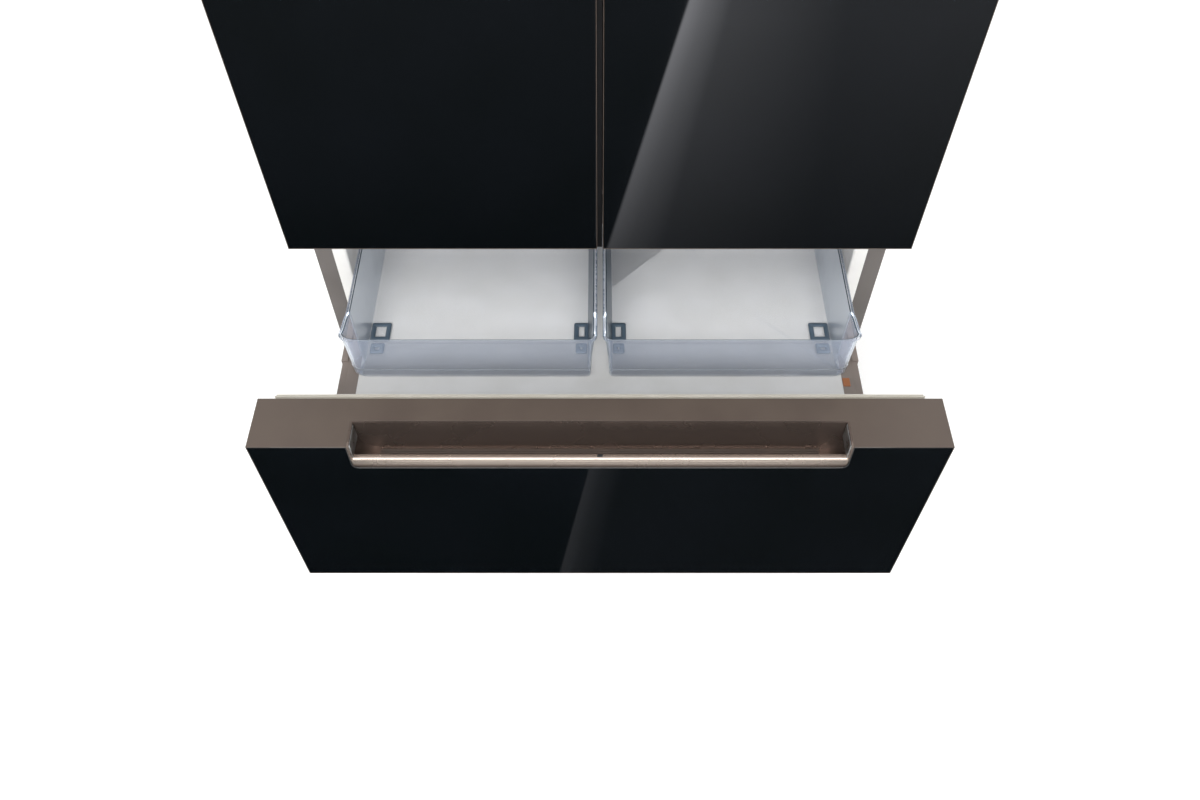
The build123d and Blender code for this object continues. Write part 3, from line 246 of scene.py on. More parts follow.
def painted_lip_bronze(drawer):
    """The share goes evenly from zero at the lip's top to the foot's share at its foot, and is one
    behind the lip. It picks the tint, which paints a highlight on the upper lip and shade at its
    foot."""
    low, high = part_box(drawer + "_handle")
    made = brushed_bronze(drawer + " handle, aluminium, buffed", None, 0.8, (0.24, 0.3))
    tree = made.node_tree
    place = add(tree, "SeparateXYZ", {0: add(tree, "TexCoord").outputs["Object"]})
    down = add(tree, "MapRange", {
        "Value": place.outputs["Z"], "From Min": high.z - LIP_TOP_DROP,
        "From Max": high.z - LIP_FOOT_DROP, "To Max": LIP_FOOT_SHADE_SHARE,
    })
    in_pocket = add(tree, "Math", {
        0: place.outputs["Y"], 1: low.y + LIP_THICKNESS + 0.2 * mm,
    }, operation="GREATER_THAN")
    share = add(tree, "Math", {
        0: down.outputs["Result"], 1: in_pocket.outputs[0],
    }, operation="ADD", use_clamp=True)
    tint = ramp(tree, share.outputs[0], [
        (position, linear(colour)) for position, colour in LIP_HIGHLIGHT_SHADE_TINTS
    ])
    tree.links.new(tint, tree.nodes["Principled BSDF"].inputs["Base Color"])
    return made


lip_light_finishes = {drawer: painted_lip_bronze(drawer) for drawer in ("upper_drawer", "lower_drawer")}
print("buffed handles:", len(lip_light_finishes))

# %% [markdown]
# ## Painted and plated steel
# The cabinet is folded from sheet with a baked powder coat, whose orange peel is a few millimetres
# wide. Arms and rails are the same sheet, painted or zinc plated, and zinc keeps pale crystal
# clouds.

# %% Steel


def powder_coat(name, colours):
    """A satin paint with an orange peel a few millimetres wide."""
    made, tree, shader = new_finish(name, {"Coat Weight": 0.15, "Coat Roughness": 0.3})
    surface_pattern(
        tree, shader, colours,
        cloud_mm=90, roughness=(0.42, 0.5), grain_mm=3, height_mm=0.06)
    return made


def zinc_plate():
    """Rolled steel under bright zinc."""
    made, tree, shader = new_finish("steel, zinc plated", {"Metallic": 1})
    surface_pattern(
        tree, shader, ("#b9bcbd", "#cfd1d1"),
        cloud_mm=12, roughness=(0.26, 0.4), grain_mm=1.2, height_mm=0.02, stretch=12)
    return made


finishes["cabinet_steel"] = powder_coat("steel, grey-brown powder coat", ("#5f5a57", "#65605d"))
finishes["arm_steel"] = powder_coat("steel, brown paint", ("#857a73", "#8c817a"))
finishes["zinc_steel"] = zinc_plate()
print("with the steels:", len(finishes), "finishes")

# %% [markdown]
# ## White liner, dark and grey mouldings
# Liners and inner panels are drawn from warm polystyrene sheet, which leaves a soft gloss and a
# faint ripple. The small covers, feet and fans are moulded ABS with an eroded grain from the
# mould, so their highlights are broad. The lamp's lens, the foam, the bins' sockets and the
# tray's latch each have a plastic of their own.

# %% Opaque plastics


def moulded(name, colours, roughness, grain_mm, height_mm):
    """A pigmented plastic with its mould's grain."""
    made, tree, shader = new_finish(name, {"IOR": 1.54})
    surface_pattern(
        tree, shader, colours,
        cloud_mm=70, roughness=roughness, grain_mm=grain_mm, height_mm=height_mm)
    return made


finishes["white_plastic"] = moulded(
    "polystyrene sheet, vacuum formed white", ("#e4e3e0", "#eae9e7"), (0.3, 0.38), 9, 0.04)
finishes["dark_plastic"] = moulded(
    "ABS, moulded black", ("#17181a", "#1c1d1f"), (0.5, 0.6), 1.6, 0.04)
finishes["grey_plastic"] = moulded(
    "ABS, moulded grey", ("#8a8c8e", "#939597"), (0.42, 0.5), 1.6, 0.03)
finishes["lamp_lens"] = moulded(
    "acrylic, frosted white", ("#eeeeea", "#f3f3ef"), (0.45, 0.55), 1.2, 0.05)
finishes["foam"] = moulded(
    "polyurethane foam, poured", ("#dccb96", "#e6d8a6"), (0.8, 0.95), 3, 0.6)
socket_plastic = moulded(
    "polypropylene, moulded blue-grey", ("#43525f", "#4c5c6a"), (0.35, 0.45), 2, 0.02)
latch_plastic = moulded(
    "acetal, moulded orange-brown", ("#a3643a", "#b0714a"), (0.3, 0.4), 2, 0.02)
print("with the plastics:", len(finishes), "finishes")

# %% [markdown]
# ## Gasket vinyl
# A refrigerator gasket is soft cream PVC drawn through a die, matt and a little greasy, with a
# sheen at its edges.

# %% Soft vinyl
gasket_vinyl, vinyl_tree, vinyl_shader = new_finish(
    "PVC, extruded soft cream", {"Sheen Weight": 0.2, "Sheen Roughness": 0.5})
surface_pattern(
    vinyl_tree, vinyl_shader, ("#c6c0b3", "#ccc7bc"),
    cloud_mm=40, roughness=(0.55, 0.65), grain_mm=2, height_mm=0.04)
finishes["gasket_vinyl"] = gasket_vinyl
print("vinyl:", gasket_vinyl.name)

# %% [markdown]
# ## Clear plastic and shelf glass
# Bins, racks and crispers are moulded from clear polystyrene. A wall is almost invisible square
# on, but light that enters it runs along inside it and leaves at rims, ribs and corners, so those
# are drawn in dark blue-grey lines, and a wall seen aslant mirrors what is round it. A true
# refraction would darken the inside, so the wall is a thin tinted film. Its alpha, tint, gloss
# and mirror share follow the larger of two shares: Layer Weight's facing value, and the trapped
# light that the mesh keeps as an attribute. The third power keeps walls clear until they are
# seen well aslant. The toughened shelves are the same with a green edge.

# %% See-through materials
TINT_PLACES = (0.02, 0.3, 0.6)
FLOW_WIDTH = 45 * mm
FLOW_HEIGHT = 0.05 * mm
CLEAR_POWER = 3


def thin_clear(name, tints, roughness, face_alpha, edge_alpha, ior):
    """A clear wall: tint and alpha go from the first, seen square on, to the last at its edges,
    and slow noise moves the share a little, as the flow of the melt does. The middle tint is
    that of a wall seen aslant."""
    made, tree, shader = new_finish(name, {
        "IOR": ior, "Specular IOR Level": 0.8,
    })
    place = add(tree, "TexCoord").outputs["Object"]
    weight = add(tree, "LayerWeight", {"Blend": 0.38})
    trapped = add(tree, "Attribute", attribute_name="trapped light")
    larger = add(tree, "Math", {
        0: weight.outputs["Facing"], 1: trapped.outputs["Fac"],
    }, operation="MAXIMUM")
    flow = add(tree, "TexNoise", {"Vector": place, "Scale": 1 / FLOW_WIDTH})
    moved = add(tree, "Math", {
        0: flow.outputs[0], 1: 0.06, 2: larger.outputs[0],
    }, operation="MULTIPLY_ADD", use_clamp=True)
    share = add(tree, "Math", {0: moved.outputs[0], 1: CLEAR_POWER}, operation="POWER")
    tint = ramp(tree, share.outputs[0], [
        (position, linear(colour)) for position, colour in zip(TINT_PLACES, tints)
    ])
    alpha = add(tree, "MapRange", {
        "Value": share.outputs[0], "From Max": 0.35, "To Min": face_alpha, "To Max": edge_alpha,
    })
    mirror = add(tree, "MapRange", {
        "Value": share.outputs[0], "From Min": 0.06, "From Max": 0.25, "To Max": 0.6,
    })
    gloss = add(tree, "MapRange", {
        "Value": share.outputs[0], "From Max": 0.25, "To Min": roughness, "To Max": 0.3,
    })
    bump = add(tree, "Bump", {"Height": flow.outputs[0], "Distance": FLOW_HEIGHT})
    tree.links.new(mirror.outputs["Result"], shader.inputs["Metallic"])
    tree.links.new(gloss.outputs["Result"], shader.inputs["Roughness"])
    tree.links.new(tint, shader.inputs["Base Color"])
    tree.links.new(alpha.outputs["Result"], shader.inputs["Alpha"])
    tree.links.new(bump.outputs["Normal"], shader.inputs["Normal"])
    return made


finishes["clear_plastic"] = thin_clear(
    "polystyrene, moulded clear", ("#cddaf2", "#e3e9f0", "#34495a"),
    roughness=0.06, face_alpha=0.04, edge_alpha=0.9, ior=1.59)
finishes["shelf_glass"] = thin_clear(
    "soda-lime glass, toughened", ("#c9ded6", "#9cc0b4", "#4f8272"),
    roughness=0.03, face_alpha=0.05, edge_alpha=0.85, ior=1.52)
print("see-through:", finishes["clear_plastic"].name, "and", finishes["shelf_glass"].name)

# %% [markdown]
# ## Cold circuit
# The coil fins are bare aluminium, the compressor shell is dipped in black enamel, and the
# condenser's tube and wires are painted black.

# %% Metals of the cold circuit
bare_aluminium, fin_tree, fin_shader = new_finish("aluminium, rolled bare", {"Metallic": 1})
surface_pattern(
    fin_tree, fin_shader, ("#c4c7c9", "#d2d4d5"),
    cloud_mm=20, roughness=(0.3, 0.42), grain_mm=1.5, height_mm=0.02)
finishes["coil_aluminium"] = bare_aluminium
finishes["compressor_black"] = powder_coat("steel, black enamel", ("#0c0d0e", "#111214"))
finishes["coil_steel"] = powder_coat("steel tube, black paint", ("#151617", "#1b1c1e"))

# %% [markdown]
# ## Finishes on the CAD part
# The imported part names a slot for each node, so one loop dresses all of them. What shows from
# near is replaced by finer surfaces further down.

# %% A finish for every node
for name, node in frame["nodes"].items():
    node.data.materials.clear()
    node.data.materials.append(finishes[slot_of[name]])
print("finishes:", len(finishes), "on", len(frame["nodes"]), "CAD nodes")

# %% [markdown]
# ## Outlines
# Nearly every new piece is an outline with a profile carried round it. An outline is a closed
# line through right-angled corners with arcs, and at each of its points there is a direction in
# which it grows.


# %% Outlines and how they grow
def outline(corners, radii, spacing_mm=12):
    """A closed outline against the clock: corner k is an arc of its radius about the point
    that lies that far in from both its edges, and long edges are cut into even steps."""
    corners = np.array(corners, float)
    before, after = np.roll(corners, 1, 0), np.roll(corners, -1, 0)
    radii = np.broadcast_to(np.array(radii, float), len(corners))
    turn = np.linspace(0, math.pi / 2, 7)[:, None]
    points = []
    for corner, start, end, radius in zip(corners, before, after, radii):
        back = (start - corner) / np.linalg.norm(start - corner)
        onward = (end - corner) / np.linalg.norm(end - corner)
        middle = corner + radius * (back + onward)
        arc = middle - radius * (onward * np.cos(turn) + back * np.sin(turn))
        points.append(arc if radius else corner[None])
    points = np.concatenate(points)
    line = []
    for start, end in zip(points, np.roll(points, -1, 0)):
        count = max(1, round(np.linalg.norm(end - start) / (spacing_mm * mm)))
        line.append(start + (end - start) * np.arange(count)[:, None] / count)
    return np.concatenate(line)


def rectangle(low, high, radii, spacing_mm=12):
    """The outline of a rectangle between two corners."""
    corners = [low, (high[0], low[1]), high, (low[0], high[1])]
    return outline(corners, radii, spacing_mm)


def growth(points):
    """Where an outline grows: the sum of the outward normals of the two edges at a point,
    divided by one plus their dot product, which keeps straight edges parallel."""
    edges = np.roll(points, -1, 0) - points
    normals = np.stack([edges[:, 1], -edges[:, 0]], 1) / np.linalg.norm(edges, axis=1)[:, None]
    earlier = np.roll(normals, 1, 0)
    return (normals + earlier) / (1 + (normals * earlier).sum(1, keepdims=True))


print("points round a square:", len(rectangle((0, 0), (1, 1), 0.1, 100)))

# %% [markdown]
# ## From outline to surface
# Drawing the outline in by an inset, row by row, at a height for each row, gives a grid of points
# for a whole tub, pane or gasket at once. The grid becomes a mesh in one go, and only the edges
# that turn by more than a crease angle stay sharp.

# %% Sweeps and meshes
FACING_UP = (0, 1, 2)
FACING_BACK = (0, 2, 1)


def swept(points, insets, heights, order=FACING_UP):
    """A grid with a row for each inset and height: the outline less its growth times the
    inset, at that height. Order says which axes the outline and the height lie along."""
    shape = (len(insets), len(points))
    insets = np.broadcast_to(np.reshape(insets, (len(insets), -1)), shape)
    heights = np.broadcast_to(np.reshape(heights, (len(heights), -1)), shape)
    plan = points[None] - growth(points)[None] * insets[:, :, None]
    return np.dstack([plan[..., 0], plan[..., 1], heights])[..., order]


def mesh_of(name, grids, ring=False, crease=32, trapped=()):
    """One closed mesh from grids whose columns close on themselves. A ring closes its rows
    too, and any other grid gets a flat face over its first row and its last. Trapped gives the
    points of a clear grid the share of light that runs along inside it, as an attribute."""
    vertices, faces, shares, start = [], [], [], 0
    for grid, share in itertools.zip_longest(grids, trapped, fillvalue=0):
        rows, columns = grid.shape[:2]
        row = np.arange(rows if ring else rows - 1)[:, None]
        column = np.arange(columns)[None]
        beside = (column + 1) % columns
        above = (row + 1) % rows
        corners = [row * columns + column, row * columns + beside]
        corners += [above * columns + beside, above * columns + column]
        faces += (start + np.stack(corners, -1).reshape(-1, 4)).tolist()
        if not ring:
            faces.append(list(range(start, start + columns)))
            faces.append(list(range(start + (rows - 1) * columns, start + rows * columns)))
        vertices.append(grid.reshape(-1, 3))
        shares.append(np.broadcast_to(share, (rows, columns)).ravel())
        start += rows * columns
    mesh = bpy.data.meshes.new(name)
    mesh.from_pydata(np.concatenate(vertices).tolist(), [], faces)
    if len(trapped):
        kept = mesh.attributes.new("trapped light", "FLOAT", "POINT")
        kept.data.foreach_set("value", np.concatenate(shares).astype(np.float32))
    work = bmesh.new()
    work.from_mesh(mesh)
    bmesh.ops.remove_doubles(work, verts=work.verts, dist=0.001 * mm)
    bmesh.ops.recalc_face_normals(work, faces=work.faces)
    work.to_mesh(mesh)
    work.free()
    smooth_to(mesh, crease)
    return mesh


def smooth_to(mesh, crease):
    """Shades a mesh smooth, but keeps edges sharp where faces turn by more than crease. A face
    with more than four corners is a flat end, so it keeps its own straight normal."""
    corners = np.zeros(len(mesh.polygons), np.int32)
    mesh.polygons.foreach_get("loop_total", corners)
    mesh.set_sharp_from_angle(angle=math.radians(crease))
    mesh.polygons.foreach_set("use_smooth", corners <= 4)


# %% [markdown]
# ## Pieces on their bodies
# A mesh becomes a piece of the part once it rides on a body, so that it moves with the right joint.
# Where it stands for a CAD node, that node is hidden. Blocks with soft edges are the commonest
# piece, and where a node holds several solids, each one's box is found from the mesh.


# %% Pieces, blocks and separate solids
def put(name, mesh, body, slot, finish=None, replaced=()):
    """Makes a mesh a piece of the part: on a body, with its slot's finish unless a finish is given,
    and hides the CAD nodes it replaces.
    """
    made = bpy.data.objects.new(name, mesh)
    bpy.context.scene.collection.objects.link(made)
    mesh.materials.clear()
    mesh.materials.append(finish or finishes[slot])
    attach(made, body)
    if replaced:
        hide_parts(*replaced)
    return made


def rounded_block(low, high, edge_mm, order=FACING_UP):
    """A block with all its edges rounded: a rounded rectangle, drawn in by edge times one
    less sine of an angle at its two ends, over a quarter turn each."""
    low, high = np.array(low)[list(order)], np.array(high)[list(order)]
    edge = edge_mm * mm
    turn = np.linspace(0, math.pi / 2, 4)
    inset = edge * (1 - np.sin(turn))
    climb = edge * (1 - np.cos(turn))
    insets = np.concatenate([inset, inset[::-1]])
    heights = np.concatenate([low[2] + climb, high[2] - climb[::-1]])
    return swept(rectangle(low[:2], high[:2], edge), insets, heights, order)


def islands(node):
    """The box of each separate solid of a CAD node. Points that share a triangle take the
    lowest label among them, over and over, until nothing changes."""
    mesh = frame["nodes"][node].data
    points = np.zeros(len(mesh.vertices) * 3, np.float32)
    mesh.vertices.foreach_get("co", points)
    places, where = np.unique(points.reshape(-1, 3).round(6), axis=0, return_inverse=True)
    corners = np.zeros(len(mesh.loops), np.int32)
    mesh.loops.foreach_get("vertex_index", corners)
    triangles = where.reshape(-1)[corners].reshape(-1, 3)
    labels = np.arange(len(places))
    while True:
        lowest = labels[triangles].min(1)
        fresh = labels.copy()
        for corner in triangles.T:
            np.minimum.at(fresh, corner, lowest)
        if (fresh == labels).all():
            break
        labels = fresh
    groups = [places[labels == label].astype(float) for label in np.unique(labels)]
    boxes = [(group.min(0), group.max(0)) for group in groups]
    return sorted(boxes, key=lambda box: (round(box[0][2], 4), round(box[0][0], 4)))


print("racks on the right door:", len(islands("right_door_racks")))

# %% [markdown]
# ## Soft edges on the CAD pieces
# No pressed or moulded edge is a knife edge, and the thin highlight along it is what makes a
# photograph look real. The right CAD shapes keep their form: a copy of each is merged, its flat
# triangles are joined again, and a bevel rounds its edges by what the process leaves. The rounds
# are given in millimetres. The handles take their finish with the painted lip highlight and shade
# here, and the middle rails the paint of the arms that run in them.


# %% Bevelled copies of CAD nodes
def softened(node, width_mm):
    """A copy of a CAD node with its edges rounded, which is shown instead of it."""
    source = frame["nodes"][node]
    mesh = source.data.copy()
    work = bmesh.new()
    work.from_mesh(mesh)
    bmesh.ops.remove_doubles(work, verts=work.verts, dist=0.002 * mm)
    flat = math.radians(0.5)
    bmesh.ops.dissolve_limit(work, angle_limit=flat, verts=work.verts, edges=work.edges)
    work.to_mesh(mesh)
    work.free()
    for attribute in [a for a in mesh.attributes if a.name == "custom_normal"]:
        mesh.attributes.remove(attribute)
    smooth_to(mesh, 30)
    made = put(node + ".edges", mesh, source["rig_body"], slot_of[node], replaced=[node])
    bevel = made.modifiers.new("edge", "BEVEL")
    bevel.width = width_mm * mm
    bevel.segments = 2
    bevel.limit_method = "ANGLE"
    bevel.angle_limit = math.radians(40)
    bevel.harden_normals = True
    return made


edge_rounds = {
    "outer_shell": 0.4, "kick_plate": 0.6, "hinge_covers": 1.2, "door_hinges": 0.4,
    "cross_rails": 0.4, "fridge_air_duct": 0.8, "ceiling_lamp": 1.2, "fixed_rails": 0.3,
    "evaporator_cover": 0.6, "machine_room_cover": 0.4, "centre_post": 1.2,
    "front_foot_left": 0.8, "front_foot_right": 0.8, "upper_drawer_arms": 0.5,
    "lower_drawer_arms": 0.5, "upper_drawer_tray": 0.6, "upper_drawer_middle_rails": 0.3,
    "lower_drawer_middle_rails": 0.3, "upper_drawer_handle": 0.3, "lower_drawer_handle": 0.3,
    "upper_drawer_liner": 2, "lower_drawer_liner": 2, "left_door_liner": 2,
    "right_door_liner": 2, "upper_drawer_frame": 0.6, "lower_drawer_frame": 0.6,
    "left_door_frame": 0.6, "right_door_frame": 0.6,
}
for node, width in edge_rounds.items():
    softened(node, width)
# The handles take the finish whose colour paints the lip's highlight and shade.
for drawer, finish in lip_light_finishes.items():
    bpy.data.objects[drawer + "_handle.edges"].data.materials[0] = finish
    bpy.data.objects[drawer + "_middle_rails.edges"].data.materials[0] = finishes["arm_steel"]
print("softened:", len(edge_rounds), "nodes")

# %% [markdown]
# ## Glass panes
# Each pane is cut from one sheet, its rim ground and polished to a small round. That rim catches
# the light beside the trim. A pane is an outline with five rows: one at the back, and four round
# the front edge to the face. The drawers' panes are notched for the pocket handle, as deep as the
# foot of its lip.

# %% Four panes
PANE_EDGE = 1.2 * mm
PANE_CORNER = 2 * mm
NOTCH_ROUND = 8 * mm
handle_low, handle_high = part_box("upper_drawer_handle")
notch_half = (handle_high.x - handle_low.x) / 2


def pane(name, body, notched):
    """A glass pane in the place of its CAD node."""
    low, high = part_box(name)
    if notched:
        corners = [
            (low.x, low.z), (high.x, low.z), (high.x, high.z), (notch_half, high.z),
            (notch_half, high.z - LIP_FOOT_DROP), (-notch_half, high.z - LIP_FOOT_DROP),
            (-notch_half, high.z), (low.x, high.z),
        ]
        radii = [PANE_CORNER] * 4 + [NOTCH_ROUND] * 2 + [PANE_CORNER] * 2
        line = outline(corners, radii, 40)
    else:
        line = rectangle((low.x, low.z), (high.x, high.z), PANE_CORNER, 60)
    turn = np.linspace(0, math.pi / 2, 4)
    insets = np.concatenate([[0], PANE_EDGE * (1 - np.cos(turn))])
    depths = np.concatenate([[high.y], low.y + PANE_EDGE * (1 - np.sin(turn))])
    mesh = mesh_of(name + ".pane", [swept(line, insets, depths, FACING_BACK)])
    return put(name + ".pane", mesh, body, "black_glass", replaced=[name])


for front in ("left_door", "right_door"):
    pane(front + "_glass", front, False)
for front in ("upper_drawer", "lower_drawer"):
    pane(front + "_glass", front, True)
print("notch half width", round(notch_half / mm, 1), "mm")

# %% [markdown]
# ## Magnetic gaskets
# A gasket is a soft tube with bellows, a base that clips into the inner panel and a bulb with a
# magnet strip. It is drawn through a die and its corners are welded at 45 degrees, so one profile
# goes round a rectangle with mitred corners. A black strip on the left door fills the gap between
# the doors as painted shade: it keeps the gap dark and stops light from the inside.


# %% Gasket profile and rings
GASKET_WIDTH = 14 * mm


def gasket(node, body):
    """The profile's half width is 0.72 + 0.28 cos²(3 pi s) of the full one at the share s of
    the depth, rounded off at both ends by the eighth power of the distance from the middle."""
    low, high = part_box(node)
    depth = high.y - low.y
    share = np.linspace(0, 1, 37)
    ribs = 0.72 + 0.28 * np.cos(3 * math.pi * share) ** 2
    ends = np.sqrt(1 - np.abs(2 * share - 1) ** 8 + 0.02)
    half = GASKET_WIDTH / 2 * ribs * np.minimum(ends, 1)
    insets = GASKET_WIDTH / 2 + np.concatenate([-half, half[::-1]])
    depths = low.y + depth * np.concatenate([share, share[::-1]])
    line = rectangle((low.x, low.z), (high.x, high.z), 0, 30)
    mesh = mesh_of(node + ".bellows", [swept(line, insets, depths, FACING_BACK)], ring=True)
    return put(node + ".bellows", mesh, body, "gasket_vinyl", replaced=[node])


for front in ("left_door", "right_door", "upper_drawer", "lower_drawer"):
    gasket(front + "_gasket", front)

# The black strip in the door gap is painted shade: a dark sheet where the gap would only be in
# shade.
gap_shade_black, black_tree, black_shader = new_finish(
    "black, painted shade of the door gap", {"Specular IOR Level": 0.2})
surface_pattern(
    black_tree, black_shader, ("#0b0b0c", "#101011"),
    cloud_mm=40, roughness=(0.55, 0.65), grain_mm=2, height_mm=0.04)
GAP_SHADE_REACH = 7.2 * mm
GAP_SHADE_DEPTHS = (4 * mm, 8 * mm)
side_low, side_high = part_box("left_door_frame")
shade_strip_low = (side_high.x - 0.5 * mm, side_low.y + GAP_SHADE_DEPTHS[0], side_low.z + 0.3 * mm)
shade_strip_high = (side_high.x + GAP_SHADE_REACH, side_low.y + GAP_SHADE_DEPTHS[1], side_high.z - 2 * mm)
gap_shade_strip = mesh_of("door_gap_shade_strip", [rounded_block(shade_strip_low, shade_strip_high, 0.8)])
put("door_gap_shade_strip", gap_shade_strip, "left_door", "gasket_vinyl", gap_shade_black)
print("gaskets: 4, gap shade strips: 1")

# %% [markdown]
# ## Moulded tubs
# Bins, baskets, racks and crispers are all moulded the same way: a floor, a rounded foot, walls
# that lean so that they leave the mould, and a rounded rim, which the freezer bins turn outwards
# as a flange. One function gives the inset and the height of every row, from the inside floor up
# the inner wall, over the rim and down outside, with the share of light that is trapped there.

# %% Rows of a tub
RIM_FLANGE_DEPTH = 4 * mm
BAND_HALF = 1.3 * mm
BAND_RISE = 0.8 * mm


def tub_rows(floor_z, rim_z, wall, draft, foot, climb, flange=0, bands=(), edge_share=1):
    """The foot is a quarter circle and the wall leans evenly by the draft. The rim goes half
    round from the inner wall to the flange's edge, flattened by the fourth root of a sine. A
    band is a ridge about its height, as exp(-(distance / its half width) squared). The rim's
    inner edge traps most light, and its outer edge as edge_share says. The rim's height, the
    draft, the flange and edge_share may vary round the tub."""
    turn = np.linspace(0, math.pi / 2, 5)[:, None]
    over = np.linspace(0.1, math.pi - 0.1, 9)[:, None]
    rim_z, draft, flange = (np.reshape(value, (1, -1)) for value in (rim_z, draft, flange))
    climb = np.reshape(climb, (-1, 1))
    start = floor_z + foot
    top = rim_z - wall / 2
    under = top - RIM_FLANGE_DEPTH if flange.any() else top
    inner_z = start + (top - start) * climb
    outer_z = start + (under - start) * climb
    inside = foot - wall
    band_share = sum(np.exp(-(((outer_z - band) / BAND_HALF) ** 2)) for band in bands)
    outer = flange + draft * (1 - climb) - BAND_RISE * band_share
    rim_width = flange + wall
    rows = [
        (flange + wall + draft + inside * (1 - np.sin(turn)),
         floor_z + wall + inside * (1 - np.cos(turn)), 0.5 * np.sin(2 * turn)),
        (flange + wall + draft * (1 - climb), inner_z, 0.12 * climb**6),
        (rim_width / 2 * (1 + np.cos(over)), top + wall / 2 * np.sin(over) ** 0.25,
         0.25 + 0.75 * np.cos(over / 2) ** 3),
    ]
    if flange.any():
        edge = np.array([[0], [0.4 * mm]])
        rows += [
            (edge + 0 * flange, under + edge[::-1], np.array([[0.85], [1.0]]) * edge_share),
            (flange, under, 0.6 * edge_share),
        ]
    rows += [
        (outer[::-1], outer_z[::-1], 0.9 * band_share[::-1] if bands else 0 * climb),
        (flange + draft + foot * (1 - np.sin(turn[::-1])),
         floor_z + foot * (1 - np.cos(turn[::-1])), 0.8 * np.sin(2 * turn[::-1]) ** 4),
    ]
    columns = max(part.shape[1] for row in rows for part in row)
    return [
        np.concatenate([np.broadcast_to(row[part], (len(row[0]), columns)) for row in rows])
        for part in range(3)
    ]


# %% [markdown]
# ## Freezer bins
# The two clear bins stand side by side on the tray. Each is low in front and steps up to its
# sides over a short slope, and has a moulded band round its foot. Its outer front corner widens
# into an ear, which gives the hand a hold. The wall by the other bin leans most, so much light
# runs along it and it looks dark. Two pairs of dark sockets on the floor hold what is set in.

# %% Bins
BIN_WALL = 2.5 * mm
BIN_FOOT = 3 * mm
BIN_CORNER = 14 * mm
BIN_FRONT_DROP = 29 * mm
BIN_BAND_RAISE = 19 * mm
SLOPE_START = 12 * mm
SLOPE_LENGTH = 20 * mm
EAR_REACH = 15 * mm
EAR_LENGTH = 30 * mm
EAR_HEIGHT = 90 * mm
tray_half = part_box("upper_drawer_tray")[1].x
bin_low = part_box("upper_drawer_bin_right")[0]


def freezer_bin(node, side):
    """The rim steps up by smoothstep over the slope. The ear moves the wall out by its reach,
    quickly over the foot and a little more towards the rim, fading to the front and behind."""
    low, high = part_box(node)
    near, far = 4 * mm, tray_half
    x_range = sorted((side * near, side * far))
    line = rectangle((x_range[0], low.y), (x_range[1], high.y), BIN_CORNER, 2.5)
    front_z = high.z - BIN_FRONT_DROP
    behind = line[:, 1] - low.y
    slope = np.clip((behind - SLOPE_START) / SLOPE_LENGTH, 0, 1)
    rim_z = front_z + (high.z - front_z) * slope * slope * (3 - 2 * slope)
    climb = np.concatenate([np.linspace(0, 0.3, 24), np.linspace(0.36, 1, 7)])
    sideways = np.clip(growth(line)[:, 0] * side, -1, 1)
    flange = (1.2 + 2.3 * sideways**2) * mm
    draft = (1 + 8 * np.clip(-sideways, 0, 1)) * mm
    edge_share = 0.3 + 0.7 * np.abs(sideways)[None]
    insets, heights, trapped = tub_rows(
        low.z, rim_z, BIN_WALL, draft, BIN_FOOT, climb, flange, (low.z + BIN_BAND_RAISE,),
        edge_share)
    grid = swept(line, insets, heights)
    outward = np.clip((line[:, 0] * side - (far - BIN_CORNER)) / BIN_CORNER, 0, 1)
    fade = np.clip((EAR_LENGTH - behind) / (EAR_LENGTH - BIN_CORNER), 0, 1)
    above = heights - low.z
    climbed = np.clip(above / EAR_HEIGHT, 0, 1)
    lift = np.clip(above / BIN_FOOT, 0, 1) * (0.75 + 0.25 * climbed)
    push = lift * (outward * fade)[None]
    grid[..., 0] += side * EAR_REACH * push
    facet = np.clip(4 * push * (1 - push), 0, 1)
    mesh = mesh_of(node + ".shell", [grid], trapped=[np.maximum(trapped, 0.35 * facet)])
    return put(node + ".shell", mesh, "upper_drawer", "clear_plastic", replaced=[node])


SOCKETS_MM = (
    (17, 41, 72, 108), (20, 38, 46, 66), (331, 362, 72, 108), (337, 359, 46, 66),
)
SOCKET_RIM = 3.8 * mm
SOCKET_HALF_HEIGHT = 1.6 * mm


def bin_sockets(name, side):
    """Rings on the floor of a bin, each from near to far across it and from front to back
    behind its front face: a rounded outline with a flat oval profile, sunk a little into the
    floor."""
    turn = np.linspace(0, 2 * math.pi, 16, endpoint=False)
    insets = SOCKET_RIM * (1 - np.cos(turn))
    heights = bin_low.z + BIN_WALL + 1.2 * mm + SOCKET_HALF_HEIGHT * np.sin(turn)
    grids = []
    for near, far, front, back in SOCKETS_MM:
        x_range = sorted((side * near * mm, side * far * mm))
        line = rectangle(
            (x_range[0], bin_low.y + front * mm), (x_range[1], bin_low.y + back * mm), 3 * mm, 20)
        grids.append(swept(line, insets, heights))
    mesh = mesh_of(name, grids, ring=True)
    return put(name, mesh, "upper_drawer", "dark_plastic", socket_plastic)


for word, side in (("left", -1), ("right", 1)):
    freezer_bin("upper_drawer_bin_" + word, side)
    bin_sockets("bin_sockets_" + word, side)
print("bins: 2, sockets in each:", len(SOCKETS_MM))

# %% [markdown]
# ## Baskets, racks and crispers
# The deep basket hangs between the arms under the bins and the lower drawer has one like it. The
# door racks sit between the dykes of the inner panels, and the crispers slide under the lowest
# shelf with a pull along the front.

# %% The other tubs
CLIMB = np.linspace(0, 1, 7)
BASKET_FLANGE = 2.5 * mm
PULL_HALF = 75 * mm
PULL_HEIGHT = 12 * mm


